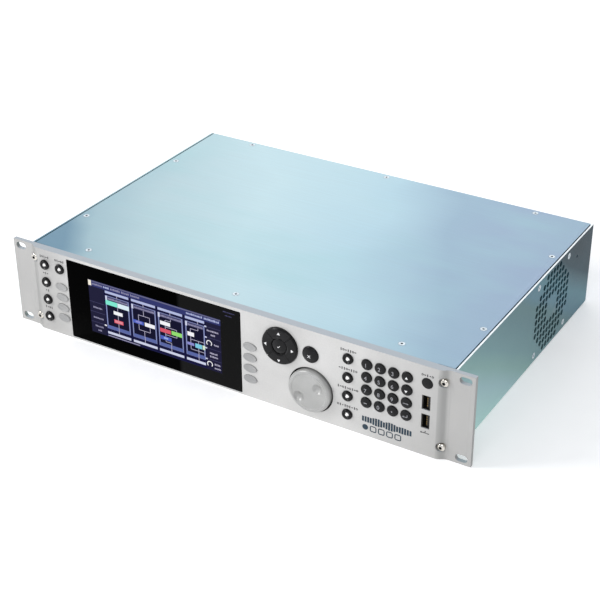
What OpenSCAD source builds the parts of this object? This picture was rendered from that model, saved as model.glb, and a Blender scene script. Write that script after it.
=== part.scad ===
// Two-unit rack effects processor: a machined front panel with sprung keys,
// a jog wheel and a colour display, on a folded sheet-metal case with a fan.
// Millimetres. X runs right, Y runs back and Z runs up. The origin is the
// centre of the rack-hole pattern, on the rear face of the panel's ears.

/* [Front panel] */
// Overall width, ear to ear
panel_w = 482.6; // [480:0.1:484]
// Overall height of two rack units
panel_h = 88.1; // [87.5:0.1:88.9]
// Thickness of the middle of the panel
panel_t = 8; // [7:0.5:9]
// Thickness of the rack ears
ear_t = 4; // [3:0.5:5]
// Half width where the curved step to the ears starts
step_in = 209.5; // [209:0.5:211]
// Half width where the curved step ends
step_out = 221; // [219:0.5:222]
// Distance between the rack slots across the panel
slot_pitch_x = 465.1; // [464:0.1:466]
// Distance between the rack slots up the panel
slot_pitch_z = 76.2; // [76:0.1:76.4]
// Height of a rack slot
slot_h = 6.8; // [6.4:0.1:7.2]
// Length of a rack slot, end to end
slot_l = 11.5; // [10:0.5:12]

/* [Case] */
// Width over the side walls
case_w = 445; // [443:0.5:447]
// Height over the bottom and the cover
case_h = 85; // [84:0.5:86]
// Depth behind the ears
case_d = 305.5; // [300:0.5:320]
// Thickness of the folded sheet
sheet = 1.6; // [1.2:0.2:2]
// Gap between the cover and a side wall
cover_gap = 1.2; // [0.8:0.1:1.6]

/* [Display] */
// Width of the glass window
window_w = 193.5; // [190:0.1:194]
// Height of the glass window
window_h = 83.4; // [81:0.1:84]
// Sideways position of the window's centre
window_x = -78.05; // [-79:0.05:-77]
// Height of the window's centre
window_z = -0.65; // [-0.8:0.05:0]

/* [Keys] */
// Travel of every sprung key
key_travel = 1.2; // [0.8:0.1:1.2]
// Radius of the lit mode keys
mode_r = 5; // [4.8:0.1:5]
// Radius of the number keys
number_r = 5.1; // [4.8:0.1:5.2]
// Distance between number keys
number_pitch = 12.6; // [12.5:0.1:12.7]
// Long axis of a soft key
soft_w = 13.8; // [13:0.1:14]
// Short axis of a soft key
soft_h = 7.9; // [7.5:0.1:8.2]
// Distance between soft keys
soft_pitch = 11.1; // [11:0.1:11.2]
// Height of the black keys above the panel
key_proud = 2.2; // [1.6:0.1:2.6]

/* [Navigation] */
// Radius of the ring of four arrow keys
nav_r = 17.7; // [17:0.1:18]
// Radius of the select key inside the ring
select_r = 7.4; // [7:0.1:7.6]
// Radius of the cancel key
cancel_r = 7.9; // [7.5:0.1:8]
// Radius of the jog wheel
wheel_r = 21; // [20:0.1:21.4]
// Height of the jog wheel above the panel
wheel_proud = 5; // [4:0.5:6]

/* [Fan] */
// Size of the square fan
fan_size = 80; // [80:1:80]
// Distance between the fan's screws
fan_pitch = 71.5; // [71.5:0.1:71.5]
// Depth of the fan
fan_depth = 25; // [25:1:25]
// Distance of the fan's axis behind the ears
fan_y = 208.2; // [200:0.1:215]
// Distance between the holes in front of the fan
grille_pitch = 7.4; // [7.2:0.1:7.8]
// Radius of a hole in front of the fan
grille_hole = 2.95; // [2.6:0.05:3.1]

/* [Hidden] */
$fn = 48;
rows4 = [0, 1, 2, 3];
arrow_names = ["up", "left", "down", "right"];
number_names = ["1", "2", "3", "up", "4", "5", "6", "down",
                "7", "8", "9", "shift", "minus", "0", "point", "enter"];

// Places across the front, as [x, z]
mode_rows = [28, 9.3, -9.3, -28];
mode_at = concat([for (z = mode_rows) [-201.5, z]], [[-183.5, 28]],
                 [for (z = mode_rows) [126.3, z]]);
number_at = [for (row = rows4) for (col = rows4)
             [144.4 + col * number_pitch, 28 - row * number_pitch]];
soft_left_at = [for (i = rows4) [-183.3, 8.7 - i * soft_pitch]];
soft_right_at = [for (i = rows4) [27.8, 8.7 - i * soft_pitch]];
nav_at = [59.3, 20.1];
cancel_at = [89.7, 20.5];
wheel_at = [90, -15.2];
power_at = [200.4, 27.8];
usb_at = [[200.1, 8.6], [200.1, -9.8]];
panel_screw_at = [for (x = [-214.8, 214.8]) for (z = [-31.8, 31.8]) [x, z]];
post_at = [[-192.3, 18.6], [-192.3, -34], [37, 36], [37, -34], [118, 36],
           [118, -36], [192, 36], [192, -34]];

// Case
wall_x = case_w / 2 - sheet;
top_z = case_h / 2;
cover_z = top_z - sheet;
flange_z = cover_z - sheet;
floor_z = -top_z + sheet;
cover_half = wall_x - cover_gap;
rear_y = case_d - sheet;
flange_in = 208;
front_flange_in = 209.5;
front_screw_at = [[-166, 15.2], [-1, 15.2], [164.5, 15.2]];
back_screw_at = [[-166, 299.6], [-1, 299.6], [164.5, 299.6]];
side_screw_at = [for (x = [-213.2, 213.2]) for (y = [71.4, 223]) [x, y]];
cover_screw_at = concat(front_screw_at, back_screw_at, side_screw_at);

// Keys: a cap, a flange behind the panel and a stem in a switch housing
flange_gap = 0.3;
flange_t = 1;
stem_end = 7.5;
housing_y = 4;
bore_end = 10;
board_y = 12;
board_t = 1.6;
stem_r = 1.5;
pipe_r = 1.95;
tube_r = 3.2;
run = 0.05;
select_back = 3.7;
hole_gap = 0.2;

// Window
window_t = 3;
window_corner = 1.2;
ledge = 3;
fit_gap = 0.2;

// Curved step of the panel: two equal arcs
ogee_l = step_out - step_in;
ogee_h = panel_t - ear_t;
ogee_a = 2 * atan(ogee_h / ogee_l);
ogee_r = ogee_l / (2 * sin(ogee_a));
ogee_n = 12;

// Fan
fan_x1 = wall_x;
fan_x0 = fan_x1 - fan_depth;
fan_plate = 4;
fan_duct = 37.6;
duct_wall = 1.6;
fan_hub = 16;
grille_reach = 5.45;
grille_middle = 2;

// Main board on its standoffs
main_x = [-92, 188];
main_y = [24, 284];
main_z = floor_z + 6;
main_t = 1.6;
standoff_at = [for (x = [-86, 48, 182]) for (y = [30, 278]) [x, y]];
module_at = [for (x = [-40, 36, 112]) for (y = [84]) [x, y]];

// Places on the rear panel: the inlet as [x, z], and one height for each row
inlet_at = [-190, -17];
xlr_z = 18;
lower_z = -20;
xlr_at = [-140, -108];
din_at = [-146, -124, -102];
bnc_at = [-76, -58];
dsub_at = [-22, 36];
lan_x = 80;
jack_at = [112, 132];
blank_at = [-40, 40, 120];

// ---- Building blocks ----

module block(x, y, z) {
    translate([x[0], y[0], z[0]])
        cube([x[1] - x[0], y[1] - y[0], z[1] - z[0]]);
}

// A round bar along Y
module y_rod(at, r, y) {
    translate([at[0], y[1], at[1]])
        rotate([90, 0, 0])
            cylinder(r = r, h = y[1] - y[0]);
}

// A round bar along X, at [y, z]
module x_rod(at, r, x, $fn = 48) {
    translate([x[0], at[0], at[1]])
        rotate([0, 90, 0])
            cylinder(r = r, h = x[1] - x[0]);
}

// A flat outline in X and Z, given thickness along Y
module y_plate(at, y) {
    translate([at[0], y[1], at[1]])
        rotate([90, 0, 0])
            linear_extrude(y[1] - y[0])
                children();
}

// A turned shape on an axis along Y; points are [radius, height to the front]
module turned(at, points) {
    translate([at[0], 0, at[1]])
        rotate([90, 0, 0])
            rotate_extrude()
                polygon(points);
}

module rounded(w, h, r) {
    square([w - 2 * r, h], center = true);
    square([w, h - 2 * r], center = true);
    for (x = [-1, 1]) for (z = [-1, 1])
        translate([x * (w / 2 - r), z * (h / 2 - r)])
            circle(r = r);
}

module ellipse(w, h) {
    polygon([for (i = [0:35]) [w / 2 * cos(i * 10), h / 2 * sin(i * 10)]]);
}

// Points of a shallow dome from the rim at radius r to the centre
function dome(r, rim, rise, n = 6) =
    [for (i = [0:n]) [r * (1 - i / n), rim + rise * (1 - pow(1 - i / n, 2))]];

// ---- Front panel ----

function step_points() = concat(
    [for (i = [0:ogee_n]) let (a = ogee_a * i / ogee_n)
        [step_in + ogee_r * sin(a), -panel_t + ogee_r * (1 - cos(a))]],
    [for (i = [ogee_n - 1:-1:0]) let (a = ogee_a * i / ogee_n)
        [step_out - ogee_r * sin(a), -ear_t - ogee_r * (1 - cos(a))]]);

module panel_outline() {
    right = step_points();
    left = [for (i = [len(right) - 1:-1:0]) [-right[i][0], right[i][1]]];
    polygon(concat([[-panel_w / 2, 0], [-panel_w / 2, -ear_t]], left, right,
                   [[panel_w / 2, -ear_t], [panel_w / 2, 0]]));
}

module rack_slot() {
    straight = slot_l - slot_h;
    for (x = [-1, 1])
        y_rod([x * straight / 2, 0], slot_h / 2, [-panel_t, 1]);
    block([-straight / 2, straight / 2], [-panel_t, 1], [-slot_h / 2, slot_h / 2]);
}

module panel_hole(at, r) {
    y_rod(at, r, [-panel_t - 1, 1]);
}

module front_panel() {
    color([0.81, 0.81, 0.8])
    difference() {
        linear_extrude(panel_h, center = true) panel_outline();
        for (x = [-1, 1]) for (z = [-1, 1])
            translate([x * slot_pitch_x / 2, 0, z * slot_pitch_z / 2]) rack_slot();
        for (at = panel_screw_at) {
            y_rod(at, 4.6, [-panel_t - 1, -4.2]);
            panel_hole(at, 2.2);
        }
        y_plate([window_x, window_z], [-panel_t - 1, -panel_t + window_t])
            rounded(window_w, window_h, window_corner);
        y_plate([window_x, window_z], [-panel_t, 1])
            rounded(window_w - 2 * ledge, window_h - 2 * ledge, window_corner);
        for (at = concat(soft_left_at, soft_right_at))
            y_plate(at, [-panel_t - 1, 1])
                ellipse(soft_w + 2 * hole_gap, soft_h + 2 * hole_gap);
        for (at = mode_at) panel_hole(at, mode_r + hole_gap);
        for (at = number_at) panel_hole(at, number_r + hole_gap);
        panel_hole(power_at, mode_r + hole_gap);
        panel_hole(nav_at, nav_r + 0.3);
        panel_hole(cancel_at, cancel_r + hole_gap);
        y_rod(wheel_at, wheel_r + 1.2, [-panel_t - 1, -3]);
        panel_hole(wheel_at, 4.4);
        for (at = usb_at)
            y_plate(at, [-panel_t - 1, 1]) square([7.8, 14], center = true);
    }
}

module panel_screws() {
    color([0.85, 0.85, 0.86])
    for (at = panel_screw_at)
        difference() {
            union() {
                turned(at, concat([[0, 4.2], [3.6, 4.2]], dome(3.6, 6.7, 1.4)));
                y_rod(at, 1.95, [-4.2, 5]);
            }
            translate([at[0], -6.2, at[1]])
                rotate([90, 0, 0])
                    cylinder(r = 1.6, h = 3, $fn = 6);
        }
}

// ---- Case ----

// Round holes on a square grid, left solid in the middle where the hub is
module grille() {
    for (col = [-5:5]) for (row = [-5:5])
        if (norm([col, row]) < grille_reach
            && !(abs(col) < grille_middle && abs(row) < grille_middle))
            x_rod([fan_y + col * grille_pitch, row * grille_pitch], grille_hole,
                  [wall_x - 1, case_w / 2 + 1], $fn = 24);
}

// A countersunk hole through the right wall for a screw of the fan
module fan_screw_hole(at) {
    x_rod(at, 2.2, [wall_x - 1, case_w / 2 + 1]);
    translate([case_w / 2 - 1.1, at[0], at[1]])
        rotate([0, 90, 0]) cylinder(r1 = 2.2, r2 = 3.3, h = 1.1);
    x_rod(at, 3.3, [case_w / 2, case_w / 2 + 1]);
}

module intake_slots() {
    for (i = [0:13]) for (z = [-18, 18])
        block([-case_w / 2 - 1, -wall_x + 1], [60 + i * 7, 63 + i * 7], [z - 13, z + 13]);
}

module side_wall(side) {
    outer = side * case_w / 2;
    inner = side * wall_x;
    block([min(outer, inner), max(outer, inner)], [0, case_d], [-top_z, top_z]);
    block([min(side * flange_in, inner), max(side * flange_in, inner)],
          [8, rear_y], [flange_z, cover_z]);
    block([min(side * front_flange_in, inner), max(side * front_flange_in, inner)],
          [0, sheet], [floor_z, flange_z]);
}

module chassis_tray() {
    color([0.55, 0.7, 0.7])
    difference() {
        union() {
            block([-wall_x, wall_x], [0, case_d], [-top_z, floor_z]);
            side_wall(-1);
            side_wall(1);
            block([-flange_in, flange_in], [8, 22], [flange_z, cover_z]);
            for (at = standoff_at)
                translate([at[0], at[1], floor_z])
                    cylinder(r = 3, h = main_z - floor_z);
        }
        for (at = concat(front_screw_at, side_screw_at))
            translate([at[0], at[1], flange_z - 1]) cylinder(r = 1.5, h = sheet + 2);
        for (at = panel_screw_at) y_rod(at, 2, [-1, sheet + 1]);
        for (at = standoff_at)
            translate([at[0], at[1], floor_z])
                cylinder(r = 1.5, h = main_z - floor_z + 1);
        // Clearance for the outer plate of the fan
        block([fan_x1 - fan_plate - 0.6, wall_x],
              [fan_y - fan_size / 2 - 0.6, fan_y + fan_size / 2 + 0.6],
              [flange_z - 1, cover_z + 0.01]);
        for (y = [-1, 1]) for (z = [-1, 1])
            fan_screw_hole([fan_y + y * fan_pitch / 2, z * fan_pitch / 2]);
        x_rod([266.6, 25.2], 1.5, [case_w / 2 - 0.7, case_w / 2 + 1]);
        grille();
        intake_slots();
    }
}

module top_cover() {
    relief_x = 204.5;
    color([0.68, 0.8, 0.86])
    difference() {
        block([-cover_half, cover_half], [0.6, case_d - 0.4], [cover_z, top_z]);
        for (at = cover_screw_at)
            translate([at[0], at[1], cover_z - 1]) {
                cylinder(r = 1.7, h = sheet + 2);
                translate([0, 0, 1.2]) cylinder(r1 = 1.7, r2 = 3.3, h = sheet - 0.2);
                translate([0, 0, sheet + 1]) cylinder(r = 3.3, h = 1);
            }
        for (x = [[-cover_half - 1, -relief_x], [relief_x, cover_half + 1]])
            block(x, [0, 2.6], [cover_z - 1, top_z + 1]);
    }
}

module rear_panel() {
    color([0.62, 0.76, 0.8])
    difference() {
        union() {
            block([-wall_x, wall_x], [rear_y, case_d], [floor_z, cover_z]);
            block([-206, 206], [290, rear_y], [flange_z, cover_z]);
            for (x = blank_at)
                block([x - 32, x + 32], [case_d, case_d + 1], [9, 35]);
        }
        for (at = back_screw_at)
            translate([at[0], at[1], flange_z - 1]) cylinder(r = 1.5, h = sheet + 2);
        // Cut-outs for the inlet and the connectors
        block([inlet_at[0] - 13.9, inlet_at[0] + 13.9], [280, case_d + 2],
              [inlet_at[1] - 10, inlet_at[1] + 10]);
        for (x = xlr_at) y_rod([x, xlr_z], 11.9, [280, case_d + 2]);
        for (x = din_at) y_rod([x, lower_z], 7.8, [280, case_d + 2]);
        for (x = bnc_at) y_rod([x, lower_z], 6.1, [280, case_d + 2]);
        for (x = jack_at) y_rod([x, lower_z], 5.1, [280, case_d + 2]);
        for (x = dsub_at)
            block([x - 20.1, x + 20.1], [280, case_d + 2], [lower_z - 5.6, lower_z + 5.6]);
        block([lan_x - 8.1, lan_x + 8.1], [280, case_d + 2], [lower_z - 6.9, lower_z + 6.9]);
    }
}

module countersunk(at) {
    translate([at[0], at[1], 0])
        difference() {
            union() {
                translate([0, 0, cover_z + 0.3])
                    cylinder(r1 = 1.5, r2 = 3, h = top_z - cover_z - 0.3);
                translate([0, 0, flange_z - 1.6]) cylinder(r = 1.45, h = sheet * 2 + 0.4);
            }
            translate([0, 0, top_z - 0.9]) cylinder(r = 1.15, h = 2, $fn = 6);
        }
}

module case_screws() {
    color([0.8, 0.8, 0.82]) {
        for (at = cover_screw_at) countersunk(at);
        for (at = standoff_at)
            translate([at[0], at[1], main_z + main_t]) {
                cylinder(r = 2.7, h = 1.8);
                translate([0, 0, -5]) cylinder(r = 1.4, h = 5.5);
            }
        for (y = [-1, 1]) for (z = [-1, 1]) {
            at = [fan_y + y * fan_pitch / 2, z * fan_pitch / 2];
            difference() {
                union() {
                    translate([case_w / 2 - 1, at[0], at[1]])
                        rotate([0, 90, 0]) cylinder(r1 = 2.05, r2 = 3.05, h = 1);
                    x_rod(at, 2.05, [wall_x - 8, case_w / 2 - 0.9]);
                }
                x_rod(at, 1.2, [case_w / 2 - 0.8, case_w / 2 + 1], $fn = 6);
            }
        }
    }
}

// ---- Display ----

module display_window() {
    color([0.03, 0.03, 0.03])
    y_plate([window_x, window_z], [-panel_t, -panel_t + window_t])
        rounded(window_w - 2 * fit_gap, window_h - 2 * fit_gap, window_corner);
}

module display_module() {
    front = -panel_t + window_t;
    color([0.2, 0.2, 0.22]) {
        difference() {
            block([-161, 9], [front, 8], [-35, 33]);
            block([-150.4, -2.3], [front - 1, front + 1], [-29.2, 27.3]);
        }
        for (x = [-156, 4]) for (z = [-30, 28])
            y_rod([x, z], 3, [8, board_y]);
    }
    color([0.1, 0.1, 0.3])
        block([-150.4, -2.3], [front + 0.4, front + 1], [-29.2, 27.3]);
}

// ---- Boards ----

module housing(at, half, bore, front = housing_y) {
    difference() {
        block([at[0] - half, at[0] + half], [front, board_y + 0.2],
              [at[1] - half, at[1] + half]);
        y_rod(at, bore, [housing_y - 1, bore_end]);
    }
}

module control_board() {
    solid_stem = stem_r + run;
    color([0.12, 0.35, 0.2])
        block([-208, 208], [board_y, board_y + board_t], [-38, 37.5]);
    color([0.15, 0.15, 0.16]) {
        for (at = mode_at) housing(at, 4.6, tube_r + run);
        for (at = concat(number_at, soft_left_at, soft_right_at, [power_at]))
            housing(at, 4, solid_stem);
        housing(nav_at, 3.6, solid_stem, select_back + key_travel + 0.4);
        housing(cancel_at, 4, solid_stem);
        for (a = [0:90:270])
            housing(nav_at + 13 * [sin(a), cos(a)], 3.6, solid_stem);
    }
    color([0.75, 0.75, 0.7])
        for (at = post_at) y_rod(at, 3, [0, board_y + 0.2]);
}

module light_pipes() {
    color([0.95, 0.97, 1])
    for (at = mode_at)
        turned(at, [[0, -bore_end], [pipe_r, -bore_end], [pipe_r, panel_t + key_proud - 0.5],
                    [1.4, panel_t + key_proud - 0.1], [0, panel_t + key_proud]]);
}

module wheel_encoder() {
    color([0.6, 0.6, 0.62])
    difference() {
        union() {
            block([wheel_at[0] - 8, wheel_at[0] + 8], [4, board_y],
                  [wheel_at[1] - 8, wheel_at[1] + 8]);
            y_rod(wheel_at, 5.5, [1, 4]);
        }
        y_rod(wheel_at, 3 + run, [0, 11]);
    }
}

module usb_sockets() {
    for (at = usb_at) translate([at[0], 0, at[1]]) {
        color([0.7, 0.7, 0.72])
        difference() {
            block([-3.3, 3.3], [-7.4, board_y], [-6.7, 6.7]);
            block([-2.85, 2.85], [-8, 9.5], [-6.25, 6.25]);
        }
        color([0.1, 0.1, 0.1])
            block([0.3, 2.1], [-6, 9.6], [-5.6, 5.6]);
    }
}

module chip(x, y, w, d, h) {
    block([x - w / 2, x + w / 2], [y - d / 2, y + d / 2],
          [main_z + main_t - 0.05, main_z + main_t + h]);
}

module main_board() {
    color([0.1, 0.32, 0.18])
    difference() {
        block(main_x, main_y, [main_z, main_z + main_t]);
        for (at = standoff_at)
            translate([at[0], at[1], main_z - 1]) cylinder(r = 1.6, h = 4);
    }
    color([0.15, 0.15, 0.16]) {
        for (i = [0:5]) chip(-70 + i * 44, 170, 22, 22, 2.5);
        for (i = [0:8]) chip(-76 + i * 30, 262, 14, 8, 9);
        for (i = [0:7]) chip(-60 + i * 30, 210, 9, 16, 2);
    }
}

module heat_sink(at) {
    base = main_z + main_t;
    color([0.12, 0.3, 0.35])
        block([at[0] - 34, at[0] + 34], [at[1] - 46, at[1] + 46], [base + 6, base + 7.6]);
    color([0.2, 0.2, 0.22]) {
        for (x = [-1, 1])
            block([at[0] + x * 30 - 2, at[0] + x * 30 + 2], [at[1] - 38, at[1] + 38],
                  [base, base + 6.1]);
        block([at[0] - 25, at[0] + 25], [at[1] - 30, at[1] + 30], [base + 7.5, base + 12]);
        for (i = [0:9])
            block([at[0] - 25 + i * 5.4, at[0] - 23.6 + i * 5.4], [at[1] - 30, at[1] + 30],
                  [base + 11.9, base + 32]);
    }
}

module processor_modules() {
    for (at = module_at) heat_sink(at);
}

module power_supply() {
    color([0.7, 0.72, 0.72])
    difference() {
        block([-212, -104], [150, 284], [floor_z, 2]);
        block([-210.8, -105.2], [151.2, 282.8], [floor_z + 1.2, 0.8]);
        for (i = [0:9])
            block([-204 + i * 10, -200 + i * 10], [166, 226], [0, 3]);
        for (i = [0:6])
            block([-213, -200], [166 + i * 14, 172 + i * 14], [-28, -12]);
    }
    color([0.15, 0.15, 0.16])
        for (y = [180, 215, 250])
            block([-190, -130], [y - 12, y + 12], [floor_z + 1.1, -14]);
}

// ---- Rear interfaces ----

module mains_inlet() {
    x = inlet_at[0];
    z = inlet_at[1];
    mouth = case_d + 3;
    color([0.08, 0.08, 0.08])
    difference() {
        union() {
            y_plate([x, z], [case_d, mouth]) rounded(50, 24, 3);
            block([x - 13.7, x + 13.7], [286, case_d + 0.1], [z - 9.8, z + 9.8]);
        }
        block([x - 12.2, x + 12.2], [288, mouth + 1], [z - 8.4, z + 8.4]);
        for (s = [-20, 20]) y_rod([x + s, z], 1.7, [case_d - 1, mouth + 1]);
    }
    color([0.8, 0.8, 0.8])
        for (p = [[-7, 2.6], [0, -2.6], [7, 2.6]])
            block([x + p[0] - 1, x + p[0] + 1], [287.9, mouth - 3], [z + p[1] - 2, z + p[1] + 2]);
}

module rear_connectors() {
    color([0.12, 0.12, 0.13]) {
        // Balanced digital input, with three contact holes
        difference() {
            union() {
                y_plate([xlr_at[0], xlr_z], [case_d, case_d + 2]) rounded(26, 31, 2);
                y_rod([xlr_at[0], xlr_z], 11.8, [286, case_d + 2.5]);
            }
            for (a = [30, 150, 270])
                y_rod([xlr_at[0] + 3.75 * cos(a), xlr_z + 3.75 * sin(a)], 1.3,
                      [295, case_d + 4]);
        }
        // Balanced digital output, with three pins
        difference() {
            union() {
                y_plate([xlr_at[1], xlr_z], [case_d, case_d + 2]) rounded(26, 31, 2);
                y_rod([xlr_at[1], xlr_z], 11.8, [286, case_d + 2.5]);
            }
            y_rod([xlr_at[1], xlr_z], 9.3, [294, case_d + 4]);
        }
        for (x = din_at) difference() {
            y_rod([x, lower_z], 7.7, [290, case_d + 1.5]);
            difference() {
                y_rod([x, lower_z], 6.9, [298, case_d + 2]);
                y_rod([x, lower_z], 5.9, [297, case_d + 1]);
            }
        }
        for (x = jack_at) difference() {
            y_rod([x, lower_z], 5, [282, case_d + 3.5]);
            y_rod([x, lower_z], 3.25, [284, case_d + 4]);
        }
    }
    color([0.8, 0.8, 0.8]) {
        for (a = [30, 150, 270])
            y_rod([xlr_at[1] + 3.75 * cos(a), xlr_z + 3.75 * sin(a)], 1.2, [293.9, case_d - 1]);
        for (x = bnc_at) difference() {
            union() {
                y_rod([x, lower_z], 6, [292, case_d + 2]);
                y_rod([x, lower_z], 4.8, [case_d, case_d + 11]);
            }
            difference() {
                y_rod([x, lower_z], 4.2, [case_d + 1, case_d + 12]);
                y_rod([x, lower_z], 2.2, [case_d, case_d + 9]);
            }
        }
        for (x = dsub_at) difference() {
            union() {
                block([x - 26.5, x + 26.5], [case_d, case_d + 1], [lower_z - 6.2, lower_z + 6.2]);
                block([x - 20, x + 20], [294, case_d + 6], [lower_z - 5.4, lower_z + 5.4]);
            }
            for (i = [0:12])
                y_rod([x - 16.56 + i * 2.76, lower_z + 1.42], 0.55, [298, case_d + 7]);
            for (i = [0:11])
                y_rod([x - 15.18 + i * 2.76, lower_z - 1.42], 0.55, [298, case_d + 7]);
        }
        difference() {
            block([lan_x - 8, lan_x + 8], [288, case_d + 1], [lower_z - 6.8, lower_z + 6.8]);
            block([lan_x - 6, lan_x + 6], [291, case_d + 2], [lower_z - 4.2, lower_z + 4.2]);
        }
    }
}

// ---- Fan ----

// The fan is drawn with its struts at the low end, and turned about so that
// they face the grille
module turned_about() {
    translate([fan_x0 + fan_x1, 2 * fan_y, 0]) rotate([0, 0, 180]) children();
}

module fan_frame() {
    fan_bore = 1.5 + run;
    color([0.1, 0.1, 0.1]) turned_about() {
        difference() {
            union() {
                for (x = [fan_x0, fan_x1 - fan_plate])
                    translate([x, fan_y, 0])
                        rotate([0, 90, 0])
                            linear_extrude(fan_plate)
                                rounded(fan_size, fan_size, 4);
                x_rod([fan_y, 0], fan_duct + duct_wall, [fan_x0, fan_x1]);
            }
            x_rod([fan_y, 0], fan_duct, [fan_x0 - 1, fan_x1 + 1]);
            for (y = [-1, 1]) for (z = [-1, 1])
                x_rod([fan_y + y * fan_pitch / 2, z * fan_pitch / 2], 2.15,
                      [fan_x0 - 1, fan_x1 + 1]);
        }
        difference() {
            union() {
                x_rod([fan_y, 0], fan_hub, [fan_x0 + 1.5, fan_x0 + 2.4]);
                x_rod([fan_y, 0], 4, [fan_x0 + 1.5, fan_x0 + 15]);
                x_rod([fan_y, 0], 12.5, [fan_x0 + 2, fan_x0 + 12]);
                translate([0, fan_y, 0])
                    for (a = [45:90:315])
                        rotate([a, 0, 0])
                            block([fan_x0 + 1.5, fan_x0 + 2.4], [-1.8, 1.8], [0, fan_duct + 0.8]);
            }
            x_rod([fan_y, 0], fan_bore, [fan_x0 + 2, fan_x0 + 16]);
        }
    }
}

module fan_rotor() {
    blade_r = fan_duct - 0.9;
    face = fan_x1 - 3.6;
    color([0.14, 0.14, 0.15])
    turned_about() translate([0, fan_y, 0]) {
        difference() {
            x_rod([0, 0], fan_hub, [fan_x0 + 3.4, face]);
            x_rod([0, 0], fan_hub - 1.6, [fan_x0 + 3, face - 1.8]);
        }
        x_rod([0, 0], 1.5, [fan_x0 + 3, face - 1]);
        intersection() {
            union()
                for (i = [0:6])
                    rotate([i * 360 / 7, 0, 0])
                        translate([fan_x0 + 13, 0, fan_hub - 0.8])
                            rotate([0, 0, 38])
                                translate([-8.5, -0.8, 0])
                                    cube([17, 1.6, 24]);
            x_rod([0, 0], blade_r, [fan_x0 + 3.4, fan_x1 - 2]);
        }
    }
}

// ---- Keys ----

// A round cap on a solid stem; proud is its rim above the panel
module stem_key(at, r, proud, rise, flange) {
    cap = panel_t + proud;
    back = -flange_gap - flange_t;
    turned(at, concat(
        [[0, -stem_end], [stem_r, -stem_end], [stem_r, back], [r + flange, back],
         [r + flange, -flange_gap], [r, -flange_gap], [r, cap - 0.5]],
        dome(r - 0.5, cap, rise)));
}

module mode_key(at) {
    bore = pipe_r + run;
    cap = panel_t + key_proud;
    back = -flange_gap - flange_t;
    color([0.1, 0.1, 0.11])
        turned(at, [[bore, -stem_end], [tube_r, -stem_end], [tube_r, back],
                    [mode_r + 1, back], [mode_r + 1, -flange_gap], [mode_r, -flange_gap],
                    [mode_r, cap - 0.6], [mode_r - 0.6, cap], [bore, cap]]);
}

module soft_key(at) {
    proud = 1.1;
    color([0.74, 0.74, 0.73]) {
        y_plate(at, [-panel_t - proud, flange_gap]) ellipse(soft_w, soft_h);
        y_plate(at, [flange_gap, flange_gap + flange_t]) ellipse(soft_w + 1.6, soft_h + 1.6);
        y_rod(at, stem_r, [flange_gap, stem_end]);
    }
}

module arrow_key(i) {
    cap = panel_t + 3;
    seam = 0.35;
    reach = 40;
    back = -flange_gap - flange_t;
    a = i * 90;
    color([0.1, 0.1, 0.11]) {
        intersection() {
            turned(nav_at,
                [[select_r + 0.4, back], [nav_r + 1.2, back], [nav_r + 1.2, -flange_gap],
                 [nav_r, -flange_gap], [nav_r, cap - 1.1], [nav_r - 0.3, cap - 0.5],
                 [nav_r - 1, cap], [select_r + 0.4, cap - 0.5]]);
            translate([nav_at[0], 0, nav_at[1]])
                rotate([0, -a, 0])
                    y_plate([0, 0], [-cap - 1, 3])
                        polygon([[0, seam], [reach, reach + seam], [-reach, reach + seam]]);
        }
        y_rod(nav_at + 13 * [-sin(a), cos(a)], stem_r, [flange_gap, stem_end]);
    }
}

module select_key() {
    cap = panel_t + 2.6;
    color([0.12, 0.12, 0.13])
    turned(nav_at, concat(
        [[0, -stem_end], [stem_r, -stem_end], [stem_r, -select_back],
         [select_r + 1.2, -select_back], [select_r + 1.2, -select_back + 0.9],
         [select_r, -select_back + 0.9], [select_r, cap - 0.5]],
        dome(select_r - 0.5, cap, 0.5)));
}

module jog_wheel() {
    face = panel_t + wheel_proud;
    rim = 2.4;
    steps = 6;
    rim_points = [for (i = [0:steps])
        [wheel_r - rim + rim * cos(i * 90 / steps), face - rim + rim * sin(i * 90 / steps)]];
    dimple_r = 8.5;
    dimple_depth = 2;
    color([0.75, 0.75, 0.74])
    difference() {
        union() {
            turned(wheel_at, concat([[0, 3.6], [wheel_r, 3.6]], rim_points,
                                    [[wheel_r - 4.2, face - 0.6], [0, face - 0.6]]));
            y_rod(wheel_at, 3, [-4, 10]);
        }
        for (a = [34, 214])
            translate([wheel_at[0] + 11.4 * cos(a), -face + 0.6 - dimple_r + dimple_depth,
                       wheel_at[1] + 11.4 * sin(a)])
                sphere(r = dimple_r);
    }
}

// ---- Parts ----

front_panel();
chassis_tray();
top_cover();
rear_panel();
display_window();
display_module();
control_board();
light_pipes();
wheel_encoder();
usb_sockets();
main_board();
processor_modules();
power_supply();
fan_frame();
mains_inlet();
rear_connectors();
case_screws();
panel_screws();
select_key();
jog_wheel();
fan_rotor();
for (i = rows4) {
    soft_key(soft_left_at[i]);
    soft_key(soft_right_at[i]);
    arrow_key(i);
}
for (i = [0:8])
    mode_key(mode_at[i]);
for (i = [0:15])
    color([0.1, 0.1, 0.11]) stem_key(number_at[i], number_r, 1.7, 0.3, 0.8);
color([0.1, 0.1, 0.11]) stem_key(cancel_at, cancel_r, 1.6, 1.4, 1);  // cancel_key
color([0.1, 0.1, 0.11]) stem_key(power_at, mode_r, 0.6, 0.3, 1);  // power_key
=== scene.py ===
# %% [markdown]
# # A two-unit rack effects processor
# The CAD model gives the size and place of every part. This script gives the
# parts their finish: bead-blasted aluminium, passivated zinc sheet, moulded
# keys, a lit display and printed legends. Lengths are in metres, and MM turns
# a length in millimetres into metres.

# %% Load the frame
import math
import random

import bmesh
import bpy
from mathutils import Matrix, Vector


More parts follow.
